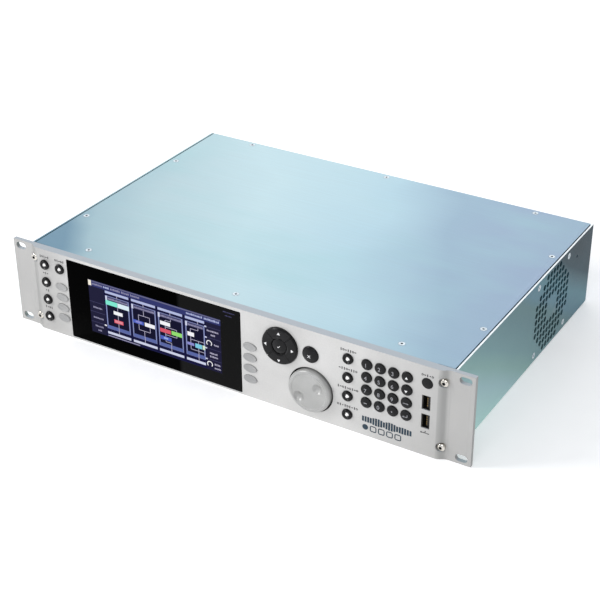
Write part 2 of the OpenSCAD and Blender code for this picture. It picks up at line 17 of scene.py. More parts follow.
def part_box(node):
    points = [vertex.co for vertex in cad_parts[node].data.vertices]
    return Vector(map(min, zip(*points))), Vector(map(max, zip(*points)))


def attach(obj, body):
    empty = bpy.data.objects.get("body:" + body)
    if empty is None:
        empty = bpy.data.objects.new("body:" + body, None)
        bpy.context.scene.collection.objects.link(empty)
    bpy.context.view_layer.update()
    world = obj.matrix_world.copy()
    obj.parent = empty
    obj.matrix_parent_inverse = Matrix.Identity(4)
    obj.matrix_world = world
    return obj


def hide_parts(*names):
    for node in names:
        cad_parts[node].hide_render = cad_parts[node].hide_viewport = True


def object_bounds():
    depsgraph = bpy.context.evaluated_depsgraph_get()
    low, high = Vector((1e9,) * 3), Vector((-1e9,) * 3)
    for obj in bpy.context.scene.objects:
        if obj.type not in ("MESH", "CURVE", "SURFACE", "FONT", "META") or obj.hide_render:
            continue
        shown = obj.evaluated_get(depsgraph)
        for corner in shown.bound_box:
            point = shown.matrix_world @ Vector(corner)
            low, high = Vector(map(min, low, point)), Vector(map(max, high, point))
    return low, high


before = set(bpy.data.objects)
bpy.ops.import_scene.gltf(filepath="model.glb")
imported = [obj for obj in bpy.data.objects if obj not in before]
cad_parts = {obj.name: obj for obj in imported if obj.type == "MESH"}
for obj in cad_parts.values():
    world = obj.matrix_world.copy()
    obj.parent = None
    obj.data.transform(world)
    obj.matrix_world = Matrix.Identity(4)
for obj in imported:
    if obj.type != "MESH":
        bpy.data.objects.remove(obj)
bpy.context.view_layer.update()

MM = 0.001

# %% [markdown]
# ## Camera
# A long lens from the right and above shows the front, the cover and one
# side. The camera is placed by its angles round a point inside the case, so
# each value can be changed on its own.

# %% Place the camera
azimuth = math.radians(31.17)
elevation = math.radians(29.80)
roll = math.radians(-0.34)
distance = 1.2626
target = Vector((0.0462, 0.0470, 0.0343))

backward = Vector((math.sin(azimuth) * math.cos(elevation),
                   -math.cos(azimuth) * math.cos(elevation),
                   math.sin(elevation)))
camera_data = bpy.data.cameras.new("camera")
camera_data.lens = 85.03
camera_data.sensor_width = 36
camera = bpy.data.objects.new("camera", camera_data)
bpy.context.collection.objects.link(camera)
turn = backward.to_track_quat("Z", "Y").to_matrix().to_4x4()
camera.matrix_world = (Matrix.Translation(target + backward * distance)
                       @ turn @ Matrix.Rotation(roll, 4, "Z"))
bpy.context.scene.camera = camera
print("camera at", tuple(round(v, 3) for v in camera.matrix_world.translation))

# %% [markdown]
# ## Node and colour helpers
# Colours are easier to read as hex values, but shaders work in linear light,
# so one function converts them. One more function adds any node with its
# properties, values and links, which keeps each material to a few lines.

# %% Colour and node helpers
def colour(code):
    """Linear RGBA from an sRGB hex code such as "#CFCFCD"."""
    parts = [int(code[i:i + 2], 16) / 255 for i in (1, 3, 5)]
    linear = [c / 12.92 if c <= 0.04045 else ((c + 0.055) / 1.055) ** 2.4 for c in parts]
    return (*linear, 1.0)


def add(tree, kind, values=None, links=None, **settings):
    """Adds a node. values fills its inputs, and links joins inputs to other nodes' outputs."""
    node = tree.nodes.new(kind)
    for name, setting in settings.items():
        setattr(node, name, setting)
    for name, value in (values or {}).items():
        node.inputs[name].default_value = value
    for name, output in (links or {}).items():
        tree.links.new(output, node.inputs[name])
    return node


def blend(tree, share, under, code):
    """Mixes a colour output with one fixed colour, and returns the mixed output."""
    node = add(tree, "ShaderNodeMix", {7: colour(code)}, {0: share, 6: under},
               data_type="RGBA")
    return node.outputs[2]


def blank(name, **values):
    """A new material with only a Principled shader, and that shader."""
    material = bpy.data.materials.new(name)
    material.use_nodes = True
    shader = material.node_tree.nodes["Principled BSDF"]
    for socket, value in values.items():
        shader.inputs[socket.replace("_", " ")].default_value = value
    return material, shader

# %% [markdown]
# ## A general finish
# Most finishes differ in the same few ways: two shades that drift across the
# surface over some distance, a fine grain of a known size that moves the
# roughness, and a relief from the same grain. So one function builds them
# all from real sizes in millimetres. A stretch above 1 draws the grain out
# along X, as rolling and brushing do.

# %% One function for the common finishes
def finish(name, shades, patch, grain, rough, relief=0.0, stretch=(1, 1, 1), **values):
    """shades: two hex codes. patch and grain: sizes in mm. rough: lowest and highest roughness."""
    material, shader = blank(name, **values)
    tree = material.node_tree
    place = add(tree, "ShaderNodeTexCoord").outputs["Object"]
    drift_scale = [1 / (patch * MM * s) for s in stretch]
    grain_scale = [1 / (grain * MM * s) for s in stretch]
    drift_place = add(tree, "ShaderNodeMapping", {"Scale": drift_scale}, {"Vector": place})
    grain_place = add(tree, "ShaderNodeMapping", {"Scale": grain_scale}, {"Vector": place})
    drift = add(tree, "ShaderNodeTexNoise", {"Scale": 1.0, "Detail": 3.0, "Roughness": 0.5},
                {"Vector": drift_place.outputs["Vector"]})
    fine = add(tree, "ShaderNodeTexNoise", {"Scale": 1.0, "Detail": 2.0, "Roughness": 0.6},
               {"Vector": grain_place.outputs["Vector"]})
    mixed = add(tree, "ShaderNodeMix", {"Factor": 0.35},
                {"A": drift.outputs["Fac"], "B": fine.outputs["Fac"]})
    ramp = add(tree, "ShaderNodeValToRGB", {}, {"Fac": mixed.outputs["Result"]})
    ramp.color_ramp.elements[0].position = 0.36
    ramp.color_ramp.elements[0].color = colour(shades[0])
    ramp.color_ramp.elements[1].position = 0.64
    ramp.color_ramp.elements[1].color = colour(shades[1])
    tree.links.new(ramp.outputs["Color"], shader.inputs["Base Color"])
    gloss = add(tree, "ShaderNodeMapRange",
                {"From Min": 0.3, "From Max": 0.7, "To Min": rough[0], "To Max": rough[1]},
                {"Value": fine.outputs["Fac"]})
    tree.links.new(gloss.outputs["Result"], shader.inputs["Roughness"])
    if relief:
        bump = add(tree, "ShaderNodeBump", {"Strength": 1.0, "Distance": relief * MM},
                   {"Height": fine.outputs["Fac"]})
        tree.links.new(bump.outputs["Normal"], shader.inputs["Normal"])
    return material

# %% [markdown]
# ## Materials of the case and panel
# The panel is milled aluminium, blasted with glass beads and anodised clear:
# an even, pale, slightly warm grey with a fine sparkle. The case is steel
# sheet, zinc plated and then passivated, with the long faint lines left by
# rolling. The cut edge on top of the right wall is painted near white as a
# highlight. The film's own colour is a nearly even pale blue. The drift to
# lavender, green and dark that the tints below paint on it is a painted
# reflection of a studio, so it stays in place when the view turns.

# %% Panel and case materials
blasted = finish("bead_blasted_anodised_aluminium", ("#BFBEBC", "#D1D0CE"), patch=60, grain=0.7,
                 rough=(0.42, 0.58), relief=0.03, Metallic=0.3)
# The ends of the panel, the curved steps and the top face are tinted as a studio
# would light them. The aluminium itself is one even grey
tree = blasted.node_tree
shader = tree.nodes["Principled BSDF"]
paint = shader.inputs["Base Color"].links[0].from_socket
normal = add(tree, "ShaderNodeTexCoord").outputs["Normal"]
facing = add(tree, "ShaderNodeSeparateXYZ", {}, {"Vector": normal})
steep = add(tree, "ShaderNodeMath", {}, {0: facing.outputs["X"]}, operation="ABSOLUTE")
curve = add(tree, "ShaderNodeMapRange",
            {"From Min": 0.06, "From Max": 0.5, "To Min": 0.0, "To Max": 0.8},
            {"Value": steep.outputs[0]})
upward = add(tree, "ShaderNodeMapRange",
             {"From Min": 0.6, "From Max": 0.95, "To Min": 0.0, "To Max": 1.0},
             {"Value": facing.outputs["Z"]})
where = add(tree, "ShaderNodeTexCoord").outputs["Object"]
aside = add(tree, "ShaderNodeSeparateXYZ", {}, {"Vector": where})
sideways = add(tree, "ShaderNodeMath", {}, {0: aside.outputs["X"]}, operation="ABSOLUTE")
ear = add(tree, "ShaderNodeMapRange",
          {"From Min": 140 * MM, "From Max": 215 * MM, "To Min": 0.0, "To Max": 0.6},
          {"Value": sideways.outputs[0]})
eared = blend(tree, ear.outputs["Result"], paint, "#9E9D9B")
stepped = blend(tree, curve.outputs["Result"], eared, "#949492")
topped = blend(tree, upward.outputs["Result"], stepped, "#B2B9BF")
tree.links.new(topped, shader.inputs["Base Color"])
# The cut edge on top of the right wall is painted near white: a painted highlight, not the sheet's
# own colour
edge_painted_highlight = finish("sheet_edge_painted_highlight", ("#DDE4E6", "#F4F7F8"), patch=20, grain=0.6,
                  rough=(0.25, 0.4), Metallic=0.6)


def passivated(name, along, wobble, tints, haze, cloudy, line_depth, metallic=0.75):
    """Zinc plate with a passivation film. along is a direction; tints are (mm, hex) pairs
    placed along it, and wobble is how far, in mm, a slow noise shifts them. haze is a
    hex code that comes and goes in clouds, cloudy is how far, from 0 to 1."""
    material, shader = blank(name, Metallic=metallic)
    tree = material.node_tree
    place = add(tree, "ShaderNodeTexCoord").outputs["Object"]
    slow_place = add(tree, "ShaderNodeMapping", {"Scale": [6.0, 9.0, 12.0]}, {"Vector": place})
    slow = add(tree, "ShaderNodeTexNoise", {"Scale": 1.0, "Detail": 2.0, "Roughness": 0.5},
               {"Vector": slow_place.outputs["Vector"]})
    reach = add(tree, "ShaderNodeVectorMath", {1: Vector(along).normalized()}, {0: place},
                operation="DOT_PRODUCT")
    start, end = tints[0][0] - wobble, tints[-1][0] + wobble
    shift = add(tree, "ShaderNodeMapRange",
                {"From Min": 0.25, "From Max": 0.75, "To Min": -wobble * MM, "To Max": wobble * MM},
                {"Value": slow.outputs["Fac"]}, clamp=False)
    moved = add(tree, "ShaderNodeMath", {}, {0: reach.outputs["Value"],
                1: shift.outputs["Result"]}, operation="ADD")
    spread = add(tree, "ShaderNodeMapRange", {"From Min": start * MM, "From Max": end * MM},
                 {"Value": moved.outputs[0]})
    ramp = add(tree, "ShaderNodeValToRGB", {}, {"Fac": spread.outputs["Result"]})
    stops = ramp.color_ramp.elements
    stops.remove(stops[1])
    stops[0].position = 0.0
    stops[0].color = colour(tints[0][1])
    for at, tint in tints:
        stops.new((at - start) / (end - start)).color = colour(tint)
    cloud_place = add(tree, "ShaderNodeMapping",
                      {"Location": [0.3, 0.1, 0.0], "Scale": [5.0, 11.0, 11.0]},
                      {"Vector": place})
    cloud = add(tree, "ShaderNodeTexNoise", {"Scale": 1.0, "Detail": 3.0, "Roughness": 0.55},
                {"Vector": cloud_place.outputs["Vector"]})
    share = add(tree, "ShaderNodeMapRange",
                {"From Min": 0.5, "From Max": 0.75, "To Min": 0.0, "To Max": cloudy},
                {"Value": cloud.outputs["Fac"]})
    hazed = blend(tree, share.outputs["Result"], ramp.outputs["Color"], haze)
    # Rolled lines: 0.9 mm apart, and about 60 mm long
    line_place = add(tree, "ShaderNodeMapping", {"Scale": [16.0, 1100.0, 1100.0]},
                     {"Vector": place})
    lines = add(tree, "ShaderNodeTexNoise", {"Scale": 1.0, "Detail": 3.0, "Roughness": 0.6},
                {"Vector": line_place.outputs["Vector"]})
    dim = add(tree, "ShaderNodeMapRange",
              {"From Min": 0.3, "From Max": 0.7, "To Min": 0.93, "To Max": 1.03},
              {"Value": lines.outputs["Fac"]})
    shade = add(tree, "ShaderNodeVectorMath", {}, {0: hazed}, operation="SCALE")
    tree.links.new(dim.outputs["Result"], shade.inputs["Scale"])
    tree.links.new(shade.outputs["Vector"], shader.inputs["Base Color"])
    gloss = add(tree, "ShaderNodeMapRange",
                {"From Min": 0.3, "From Max": 0.7, "To Min": 0.38, "To Max": 0.5},
                {"Value": lines.outputs["Fac"]})
    tree.links.new(gloss.outputs["Result"], shader.inputs["Roughness"])
    bump = add(tree, "ShaderNodeBump", {"Strength": 1.0, "Distance": line_depth * MM},
               {"Height": lines.outputs["Fac"]})
    tree.links.new(bump.outputs["Normal"], shader.inputs["Normal"])
    return material


cover_tints = [(-190, "#7598AC"), (-165, "#A3BFC8"), (-110, "#B3CBD1"), (0, "#BDD6DC"),
               (110, "#B1CED9"), (190, "#9AB4C6"), (290, "#9CAFC7")]
cover_zinc = passivated("blue_passivated_zinc_cover", (0.9, 0.35, 0), 25, cover_tints,
                        "#A4CBD0", 0.5, 0.015)
wall_tints = [(-15, "#BADED8"), (25, "#9ABBBF"), (42, "#82A8A4"), (56, "#71969A"),
              (81, "#5E8288"), (98, "#567A7E"), (108, "#517B8A"), (126, "#4A7A86"),
              (148, "#2A424B"), (170, "#1C3038")]
wall_way = Vector((0, 1, 1.7)).normalized()
tray_zinc = passivated("green_passivated_zinc_tray", wall_way, 6, wall_tints,
                       "#55788A", 0.15, 0.015)
# The rear of the walls stands for a dark part of a studio, so it mirrors less there.
# Both of these links are painted light, and an export drops the specular one
tree = tray_zinc.node_tree
place = add(tree, "ShaderNodeTexCoord").outputs["Object"]
back = add(tree, "ShaderNodeVectorMath", {1: wall_way}, {0: place}, operation="DOT_PRODUCT")
for socket, least, most in (("Metallic", 0.2, 0.75), ("Specular IOR Level", 0.1, 0.5)):
    fade = add(tree, "ShaderNodeMapRange",
               {"From Min": 120 * MM, "From Max": 145 * MM, "To Min": most, "To Max": least},
               {"Value": back.outputs["Value"]})
    tree.links.new(fade.outputs["Result"], tree.nodes["Principled BSDF"].inputs[socket])
rear_tints = [(-220, "#8FB4BE"), (0, "#A3C6CC"), (220, "#9FB8CC")]
rear_zinc = passivated("passivated_zinc_rear", (1, 0, 0.4), 40, rear_tints, "#9CC0B8",
                       0.4, 0.015)

# %% [markdown]
# ## Materials of the controls
# The black keys are satin ABS. The soft keys and the wheel are moulded in a
# silver-grey plastic that follows the panel's colour but is a little
# smoother. Screws are nickel plated and bright, so they mirror the room.
# Inks are thin printed films.

# %% Materials of keys, screws and prints
black_abs = finish("satin_black_abs", ("#060607", "#0E0E10"), patch=9, grain=0.5,
                   rough=(0.2, 0.3), relief=0.003, Specular_IOR_Level=0.24)
silver_abs = finish("silver_moulded_abs", ("#969696", "#A6A6A5"), patch=14, grain=0.5,
                    rough=(0.34, 0.48), relief=0.008, Metallic=0.2)
wheel_abs = finish("silver_turned_wheel", ("#A1A19F", "#B0B0AE"), patch=22, grain=0.6,
                   rough=(0.3, 0.44), relief=0.008, Metallic=0.25)
nickel = finish("bright_nickel_plate", ("#C9C4BA", "#E6E2DA"), patch=3, grain=0.4,
                rough=(0.1, 0.22), Metallic=1.0)
zinc_screw = finish("zinc_plated_screw", ("#AEB9C0", "#D5DEE2"), patch=3, grain=0.4,
                    rough=(0.2, 0.35), Metallic=1.0)
window_black = finish("hard_coated_black_acrylic", ("#000000", "#020202"), patch=60, grain=2.0,
                      rough=(0.04, 0.08))
glass_fill = finish("moulded_black_nylon", ("#0B0B0C", "#171718"), patch=12, grain=0.6,
                    rough=(0.45, 0.6), relief=0.01)
gold = finish("gold_plated_contact", ("#6E5A38", "#8C764E"), patch=2, grain=0.3,
              rough=(0.15, 0.3), Metallic=1.0)
solder_mask = finish("green_solder_mask", ("#0B3A1E", "#16552D"), patch=15, grain=0.8,
                     rough=(0.25, 0.4), relief=0.01)
black_anodised = finish("black_anodised_fins", ("#101112", "#1E2022"), patch=10, grain=0.5,
                        rough=(0.35, 0.5), Metallic=0.5)
# The USB shells are coloured dark as painted shade inside the sockets
shell_shade_steel = finish("usb_shell_painted_shade", ("#2B2A28", "#45433F"), patch=4, grain=0.4,
                      rough=(0.3, 0.45), Metallic=0.8)
galvanised = finish("galvanised_steel", ("#A8AEB0", "#C3C8C9"), patch=8, grain=1.0,
                    rough=(0.3, 0.5), relief=0.01, Metallic=0.8)
dark_ink = finish("grey_screen_ink", ("#1E1E22", "#2E2E32"), patch=3, grain=0.3,
                  rough=(0.5, 0.65))
mark_ink = finish("teal_screen_ink", ("#08212F", "#0F3042"), patch=5, grain=0.3,
                  rough=(0.45, 0.6))
key_ink = finish("grey_key_ink", ("#86868A", "#9A9A9E"), patch=2, grain=0.3,
                 rough=(0.45, 0.6))
white_ink = finish("white_key_ink", ("#DADADA", "#F2F2F2"), patch=2, grain=0.3,
                   rough=(0.45, 0.6))


def glowing(name, code, strength=1.0, gloss=0.35):
    """A lit surface: a dark ground that shines in one colour."""
    return blank(name, Base_Color=(0.0, 0.0, 0.0, 1.0), Roughness=gloss,
                 Specular_IOR_Level=0.02, Emission_Color=colour(code),
                 Emission_Strength=strength)[0]


lit_pipe = glowing("lit_clear_acrylic", "#FFFFFF", 1.0)
# A real coating mirrors evenly. This step stands for one edge of a studio seen in it,
# and it's lost in an export, which drops a linked specular level
tree = window_black.node_tree
place = add(tree, "ShaderNodeTexCoord").outputs["Object"]
across = add(tree, "ShaderNodeSeparateXYZ", {}, {"Vector": place})
mirror = add(tree, "ShaderNodeMapRange",
             {"From Min": -50 * MM, "From Max": -46 * MM, "To Min": 0.006, "To Max": 0.085},
             {"Value": across.outputs["X"]})
tree.links.new(mirror.outputs["Result"],
               tree.nodes["Principled BSDF"].inputs["Specular IOR Level"])
print("materials:", len(bpy.data.materials))

# %% [markdown]
# ## From a mesh to a piece
# Every new piece ends the same way: it is shaded smooth except at edges
# sharper than an angle, it takes its materials, it rides on a body of the
# CAD model, and it may stand in for a CAD part.

# %% Finish a piece
def piece(bm, name, materials, body="chassis", stands_for=(), smooth=32):
    """Turns a bmesh into a shown piece that rides on a body."""
    if not isinstance(materials, (list, tuple)):
        materials = [materials]
    mesh = bpy.data.meshes.new(name)
    bm.to_mesh(mesh)
    bm.free()
    mesh.shade_smooth()
    mesh.set_sharp_from_angle(angle=math.radians(smooth))
    for material in materials:
        mesh.materials.append(material)
    shown = bpy.data.objects.new(name, mesh)
    bpy.context.collection.objects.link(shown)
    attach(shown, body)
    if stands_for:
        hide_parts(*stands_for)
    return shown

# %% [markdown]
# ## Refining a CAD part
# A CAD part has knife-sharp edges and loose triangles. Real sheet and milled
# parts catch a thin line of light on every edge. So a copy is welded, its
# flat triangles are joined into whole faces, and its sharp edges get a small
# two-step bevel. The copy then stands for the CAD part. A function may pick
# another material for some faces, such as the painted highlight on top of the right wall.

# %% Weld and bevel a copy of a CAD part
wide_face = 300  # square millimetres


def refined(node, name, materials, bevel=0.2, pick=None, body="chassis", sharp=35):
    """bevel is in mm. pick takes a face and returns the index of its material."""
    bm = bmesh.new()
    bm.from_mesh(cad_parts[node].data)
    bmesh.ops.remove_doubles(bm, verts=bm.verts, dist=2e-6)
    if bevel:
        bmesh.ops.dissolve_limit(bm, angle_limit=math.radians(0.6), verts=bm.verts,
                                 edges=bm.edges)
        edges = [e for e in bm.edges if len(e.link_faces) == 2
                 and e.calc_face_angle(0.0) > math.radians(sharp)]
        bmesh.ops.bevel(bm, geom=edges, offset=bevel * MM, segments=2, profile=0.5,
                        affect="EDGES", clamp_overlap=True, material=-1)
        for face in bm.faces:
            face.material_index = 1 if face.calc_area() > wide_face * MM * MM else 0
        bmesh.ops.triangulate(bm, faces=[f for f in bm.faces if len(f.verts) > 4])
    bm.normal_update()
    bm.edges.index_update()
    # A sharp mark round each wide face keeps its shading flat right to the bevel
    rims = [e.index for e in bm.edges if len(e.link_faces) == 2
            and any(face.material_index for face in e.link_faces)
            and e.calc_face_angle(0.0) > math.radians(1)]
    for face in bm.faces:
        face.material_index = pick(face) if pick else 0
    shown = piece(bm, name, materials, body, (node,), smooth=26)
    for index in rims:
        shown.data.edges[index].use_edge_sharp = True
    return shown


wheel_low, wheel_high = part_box("jog_wheel")
wheel_middle = (wheel_low + wheel_high) / 2
wheel_reach = (wheel_high[0] - wheel_low[0]) / 2


def panel_pick(face):
    """The round pocket behind the jog wheel is painted near black, as shade."""
    spot = face.calc_center_median()
    away = math.hypot(spot.x - wheel_middle[0], spot.z - wheel_middle[2])
    return 1 if away < wheel_reach + 1.3 * MM and spot.y > -7.2 * MM else 0


# Painted shade: the pocket round the wheel is coloured near black to stand for the shade in the gap
pocket_shade = finish("wheel_pocket_painted_shade", ("#050505", "#0B0B0B"), patch=6, grain=0.5, rough=(0.85, 0.95))
panel = refined("front_panel", "front_panel_blasted", [blasted, pocket_shade], 0.25,
                panel_pick)
print("panel triangles", len(panel.data.polygons))

# %% [markdown]
# ## Case
# The cover, the tray and the rear panel are sheet, so their bevels are only
# as wide as a deburred edge. On the tray, the top face of the right wall, the
# cut edge of the sheet, is painted near white as a highlight, and the top face
# of the left wall takes the cover's colour.

# %% Cover, tray and rear panel
tray_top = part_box("chassis_tray")[1][2]


def tray_pick(face):
    middle = face.calc_center_median()
    if middle.z > tray_top - 0.4 * MM and face.normal.z > 0.3:
        # The right wall's top face takes the painted highlight, the left one the cover's colour
        return 1 if middle.x > 0 else 2
    return 0


refined("top_cover", "cover_sheet", [cover_zinc], 0.15)
tray = refined("chassis_tray", "tray_sheet", [tray_zinc, edge_painted_highlight, cover_zinc],
               0.12, tray_pick)
refined("rear_panel", "rear_sheet", [rear_zinc], 0.15)
print("tray faces", len(tray.data.polygons))

# %% [markdown]
# ## Turned pieces
# Caps, pipes and the wheel are round, so each is a half outline spun about
# its axis. A point of the outline is a radius and a height in millimetres,
# counted to the front from the back of the ears, and a third number rounds
# that corner. The rounding is an arc tangent to both sides.

# %% Spin an outline about an axis along Y
def round_corners(points, steps=5):
    """Replaces each corner that has a radius by an arc of that radius."""
    done = []
    for i, point in enumerate(points):
        if len(point) < 3:
            done.append(Vector(point))
            continue
        here = Vector(point[:2])
        back = (Vector(points[i - 1][:2]) - here).normalized()
        ahead = (Vector(points[(i + 1) % len(points)][:2]) - here).normalized()
        half = back.angle(ahead) / 2
        reach = point[2] / math.tan(half)
        centre = here + (back + ahead).normalized() * (point[2] / math.sin(half))
        first = here + back * reach - centre
        last = here + ahead * reach - centre
        sweep = first.angle_signed(last)
        for step in range(steps + 1):
            turned = Matrix.Rotation(-sweep * step / steps, 2) @ first
            done.append(centre + turned)
    return done


def spun(points, at, segments=48, corner_steps=5):
    """A closed turned shape. at is [x, z] of its axis in mm."""
    bm = bmesh.new()
    outline = [bm.verts.new(((at[0] + p[0]) * MM, -p[1] * MM, at[1] * MM))
               for p in round_corners(points, corner_steps)]
    edges = [bm.edges.new((outline[i], outline[i + 1])) for i in range(len(outline) - 1)]
    if points[0][0] > 0:
        edges.append(bm.edges.new((outline[-1], outline[0])))
    bmesh.ops.spin(bm, geom=outline + edges, cent=(at[0] * MM, 0, at[1] * MM),
                   axis=(0, 1, 0), angle=2 * math.pi, steps=segments, use_merge=True)
    bmesh.ops.remove_doubles(bm, verts=bm.verts, dist=1e-6)
    bmesh.ops.recalc_face_normals(bm, faces=bm.faces)
    return bm


def axis_of(node):
    """[x, z] in mm of the middle of a CAD part seen from the front."""
    low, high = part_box(node)
    return [(low[0] + high[0]) / 2 / MM, (low[2] + high[2]) / 2 / MM]

# %% [markdown]
# ## Round keys
# A key is a cap in the panel's hole, a flange that holds it behind the panel
# and a stem that works the switch. A mode key is hollow, and a clear light
# pipe stands still in its middle while the cap moves round it.

# %% Mode keys and their light pipes
face_h = -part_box("display_window")[0][1] / MM
stem_end, flange_back, flange_front = -7.5, -1.3, -0.3
mode_nodes = [f"mode_key_{i}" for i in range(1, 10)]
mode_top = -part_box("mode_key_1")[0][1] / MM
for node in mode_nodes:
    outline = [(2.0, stem_end), (3.2, stem_end), (3.2, flange_back), (6.0, flange_back),
               (6.0, flange_front), (5.0, flange_front), (5.0, mode_top - 0.2, 1.3),
               (3.6, mode_top, 0.5), (2.7, mode_top - 0.9, 0.3), (2.0, mode_top - 0.9)]
    piece(spun(outline, axis_of(node)), node + "_cap", black_abs, node,
          (node,))

pipes = bmesh.new()
for node in mode_nodes:
    part = spun([(0, -10.0), (1.95, -10.0), (1.95, mode_top - 2.6, 0.1),
                 (1.3, mode_top - 2.2), (1.3, mode_top - 0.2, 0.5), (0, mode_top - 0.1)],
                axis_of(node), 32)
    loose = bpy.data.meshes.new("part")
    part.to_mesh(loose)
    part.free()
    pipes.from_mesh(loose)
    bpy.data.meshes.remove(loose)
piece(pipes, "light_pipe_set", lit_pipe, stands_for=("light_pipes",))

# %% Number, cancel, select and power keys
number_names = ["1", "2", "3", "up", "4", "5", "6", "down",
                "7", "8", "9", "shift", "minus", "0", "point", "enter"]


def solid_key(node, r, flange_r, top, crown, back=flange_back, edge=0.9):
    """A domed cap on a thin stem. top is the height of its middle, crown its rise."""
    rim = top - crown
    dome = [(r * f, top - crown * f * f) for f in (0.84, 0.7, 0.55, 0.4, 0.25, 0.12)]
    outline = ([(0, stem_end), (1.5, stem_end), (1.5, back), (flange_r, back),
                (flange_r, back + 1.0), (r, back + 1.0), (r, rim, edge)] + dome + [(0, top)])
    piece(spun(outline, axis_of(node)), node + "_cap", black_abs, node,
          (node,))


for name in number_names:
    node = "number_key_" + name
    solid_key(node, 5.1, 5.9, -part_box(node)[0][1] / MM, 0.8, edge=0.7)
solid_key("cancel_key", 7.9, 8.9, -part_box("cancel_key")[0][1] / MM, 1.9, edge=1.0)
solid_key("power_key", 5.0, 6.0, -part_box("power_key")[0][1] / MM, 0.5, edge=0.3)
solid_key("select_key", 7.4, 8.6, -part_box("select_key")[0][1] / MM, 1.3, back=-3.7, edge=0.8)

# %% [markdown]
# ## Arrow ring
# The four arrow keys are quarters of one ring with thin seams between them.
# The ring is spun whole, and two cuts leave one quarter. The cut faces are
# closed, and the new edges get a small bevel.

# %% Arrow keys
nav = axis_of("select_key")
seam = 0.15
ring_r = 17.7
arrow_names = ["up", "left", "down", "right"]
for i, name in enumerate(arrow_names):
    node = "arrow_key_" + name
    top = -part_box(node)[0][1] / MM
    outline = [(7.8, flange_back), (ring_r + 1.2, flange_back),
               (ring_r + 1.2, flange_front),
               (ring_r, flange_front), (ring_r, top, 1.6), (9.2, top - 0.2, 1.5),
               (7.8, top - 0.9, 0.2)]
    bm = spun(outline, nav, 96)
    middle = Vector((nav[0] * MM, 0, nav[1] * MM))
    around = math.radians(90 * i)
    for side in (-1, 1):
        # Each cut keeps the side towards the middle of this quarter
        edge = around + side * math.radians(45)
        outward = Vector((-math.sin(edge + side * math.pi / 2), 0,
                          math.cos(edge + side * math.pi / 2)))
        bmesh.ops.bisect_plane(bm, geom=bm.verts[:] + bm.edges[:] + bm.faces[:],
                               plane_co=middle - outward * seam * MM, plane_no=outward,
                               clear_outer=True)
        rim = [e for e in bm.edges if e.is_boundary]
        bmesh.ops.holes_fill(bm, edges=rim, sides=0)
    corners = [e for e in bm.edges if len(e.link_faces) == 2
               and e.calc_face_angle(0.0) > math.radians(60)
               and all(v.co.y < -face_h * MM for v in e.verts)]
    bmesh.ops.bevel(bm, geom=corners, offset=0.15 * MM, segments=2, profile=0.5,
                    affect="EDGES", clamp_overlap=True, material=-1)
    bmesh.ops.create_cone(bm, cap_ends=True, segments=24, radius1=1.5 * MM, radius2=1.5 * MM,
                          depth=6.2 * MM,
                          matrix=Matrix.Translation(((nav[0] - 13 * math.sin(around)) * MM,
                                                     4.4 * MM,
                                                     (nav[1] + 13 * math.cos(around)) * MM))
                          @ Matrix.Rotation(math.pi / 2, 4, "X"))
    bmesh.ops.recalc_face_normals(bm, faces=bm.faces)
    piece(bm, node + "_cap", black_abs, node, (node,))

# %% [markdown]
# ## Soft keys
# The soft keys are ovals. A disc is drawn out to an oval, its edge is lifted
# through the panel, and smaller and smaller copies of its front shape a low dish.

# %% Soft keys
def oval(bm, at, size, h0, h1):
    """An oval block from height h0 to h1, and its front face."""
    shape = bmesh.ops.create_circle(bm, cap_ends=True, radius=1.0, segments=64,
                                    matrix=Matrix.Rotation(math.pi / 2, 4, "X"))
    bmesh.ops.scale(bm, verts=shape["verts"], vec=(size[0] / 2 * MM, 1, size[1] / 2 * MM))
    bmesh.ops.translate(bm, verts=shape["verts"], vec=(at[0] * MM, -h0 * MM, at[1] * MM))
    base = shape["verts"][0].link_faces[0]
    raised = bmesh.ops.extrude_face_region(bm, geom=[base])
    verts = [v for v in raised["geom"] if isinstance(v, bmesh.types.BMVert)]
    bmesh.ops.translate(bm, verts=verts, vec=(0, -(h1 - h0) * MM, 0))
    front = [f for f in raised["geom"] if isinstance(f, bmesh.types.BMFace)][0]
    return front


def soft_key(node):
    at = axis_of(node)
    top = -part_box(node)[0][1] / MM
    bm = bmesh.new()
    oval(bm, at, (15.4, 9.5), flange_back, flange_front)
    front = oval(bm, at, (13.8, 7.9), flange_front, top)
    rim = list(front.edges)
    bmesh.ops.bevel(bm, geom=rim, offset=0.45 * MM, segments=3, profile=0.5,
                    affect="EDGES", clamp_overlap=True, material=-1)
    front = min(bm.faces, key=lambda f: (round(f.calc_center_median().y, 5), -f.calc_area()))
    for size, depth in ((0.9, 0.0), (0.9, 0.3), (0.85, 0.12), (0.7, 0.05)):
        raised = bmesh.ops.extrude_face_region(bm, geom=[front])["geom"]
        bmesh.ops.delete(bm, geom=[front], context="FACES_ONLY")
        verts = [v for v in raised if isinstance(v, bmesh.types.BMVert)]
        front = [f for f in raised if isinstance(f, bmesh.types.BMFace)][0]
        bmesh.ops.scale(bm, verts=verts, vec=(size, 1, size),
                        space=Matrix.Translation((-at[0] * MM, 0, -at[1] * MM)))
        bmesh.ops.translate(bm, verts=verts, vec=(0, depth * MM, 0))
    stem = Matrix.Translation((at[0] * MM, (1.3 + 7.5) / 2 * MM, at[1] * MM))
    bmesh.ops.create_cone(bm, cap_ends=True, segments=24, radius1=1.5 * MM, radius2=1.5 * MM,
                          depth=6.2 * MM, matrix=stem @ Matrix.Rotation(math.pi / 2, 4, "X"))
    bmesh.ops.recalc_face_normals(bm, faces=bm.faces)
    piece(bm, node + "_cap", silver_abs, node, (node,))


for side in ("left", "right"):
    for i in range(1, 5):
        soft_key(f"soft_key_{side}_{i}")

# %% [markdown]
# ## Jog wheel
# The wheel is spun with close rings across its face, so that two finger
# dimples can be pressed into it by moving points: each point inside a
# dimple's circle sinks along a bowl that meets the face at a soft crease.

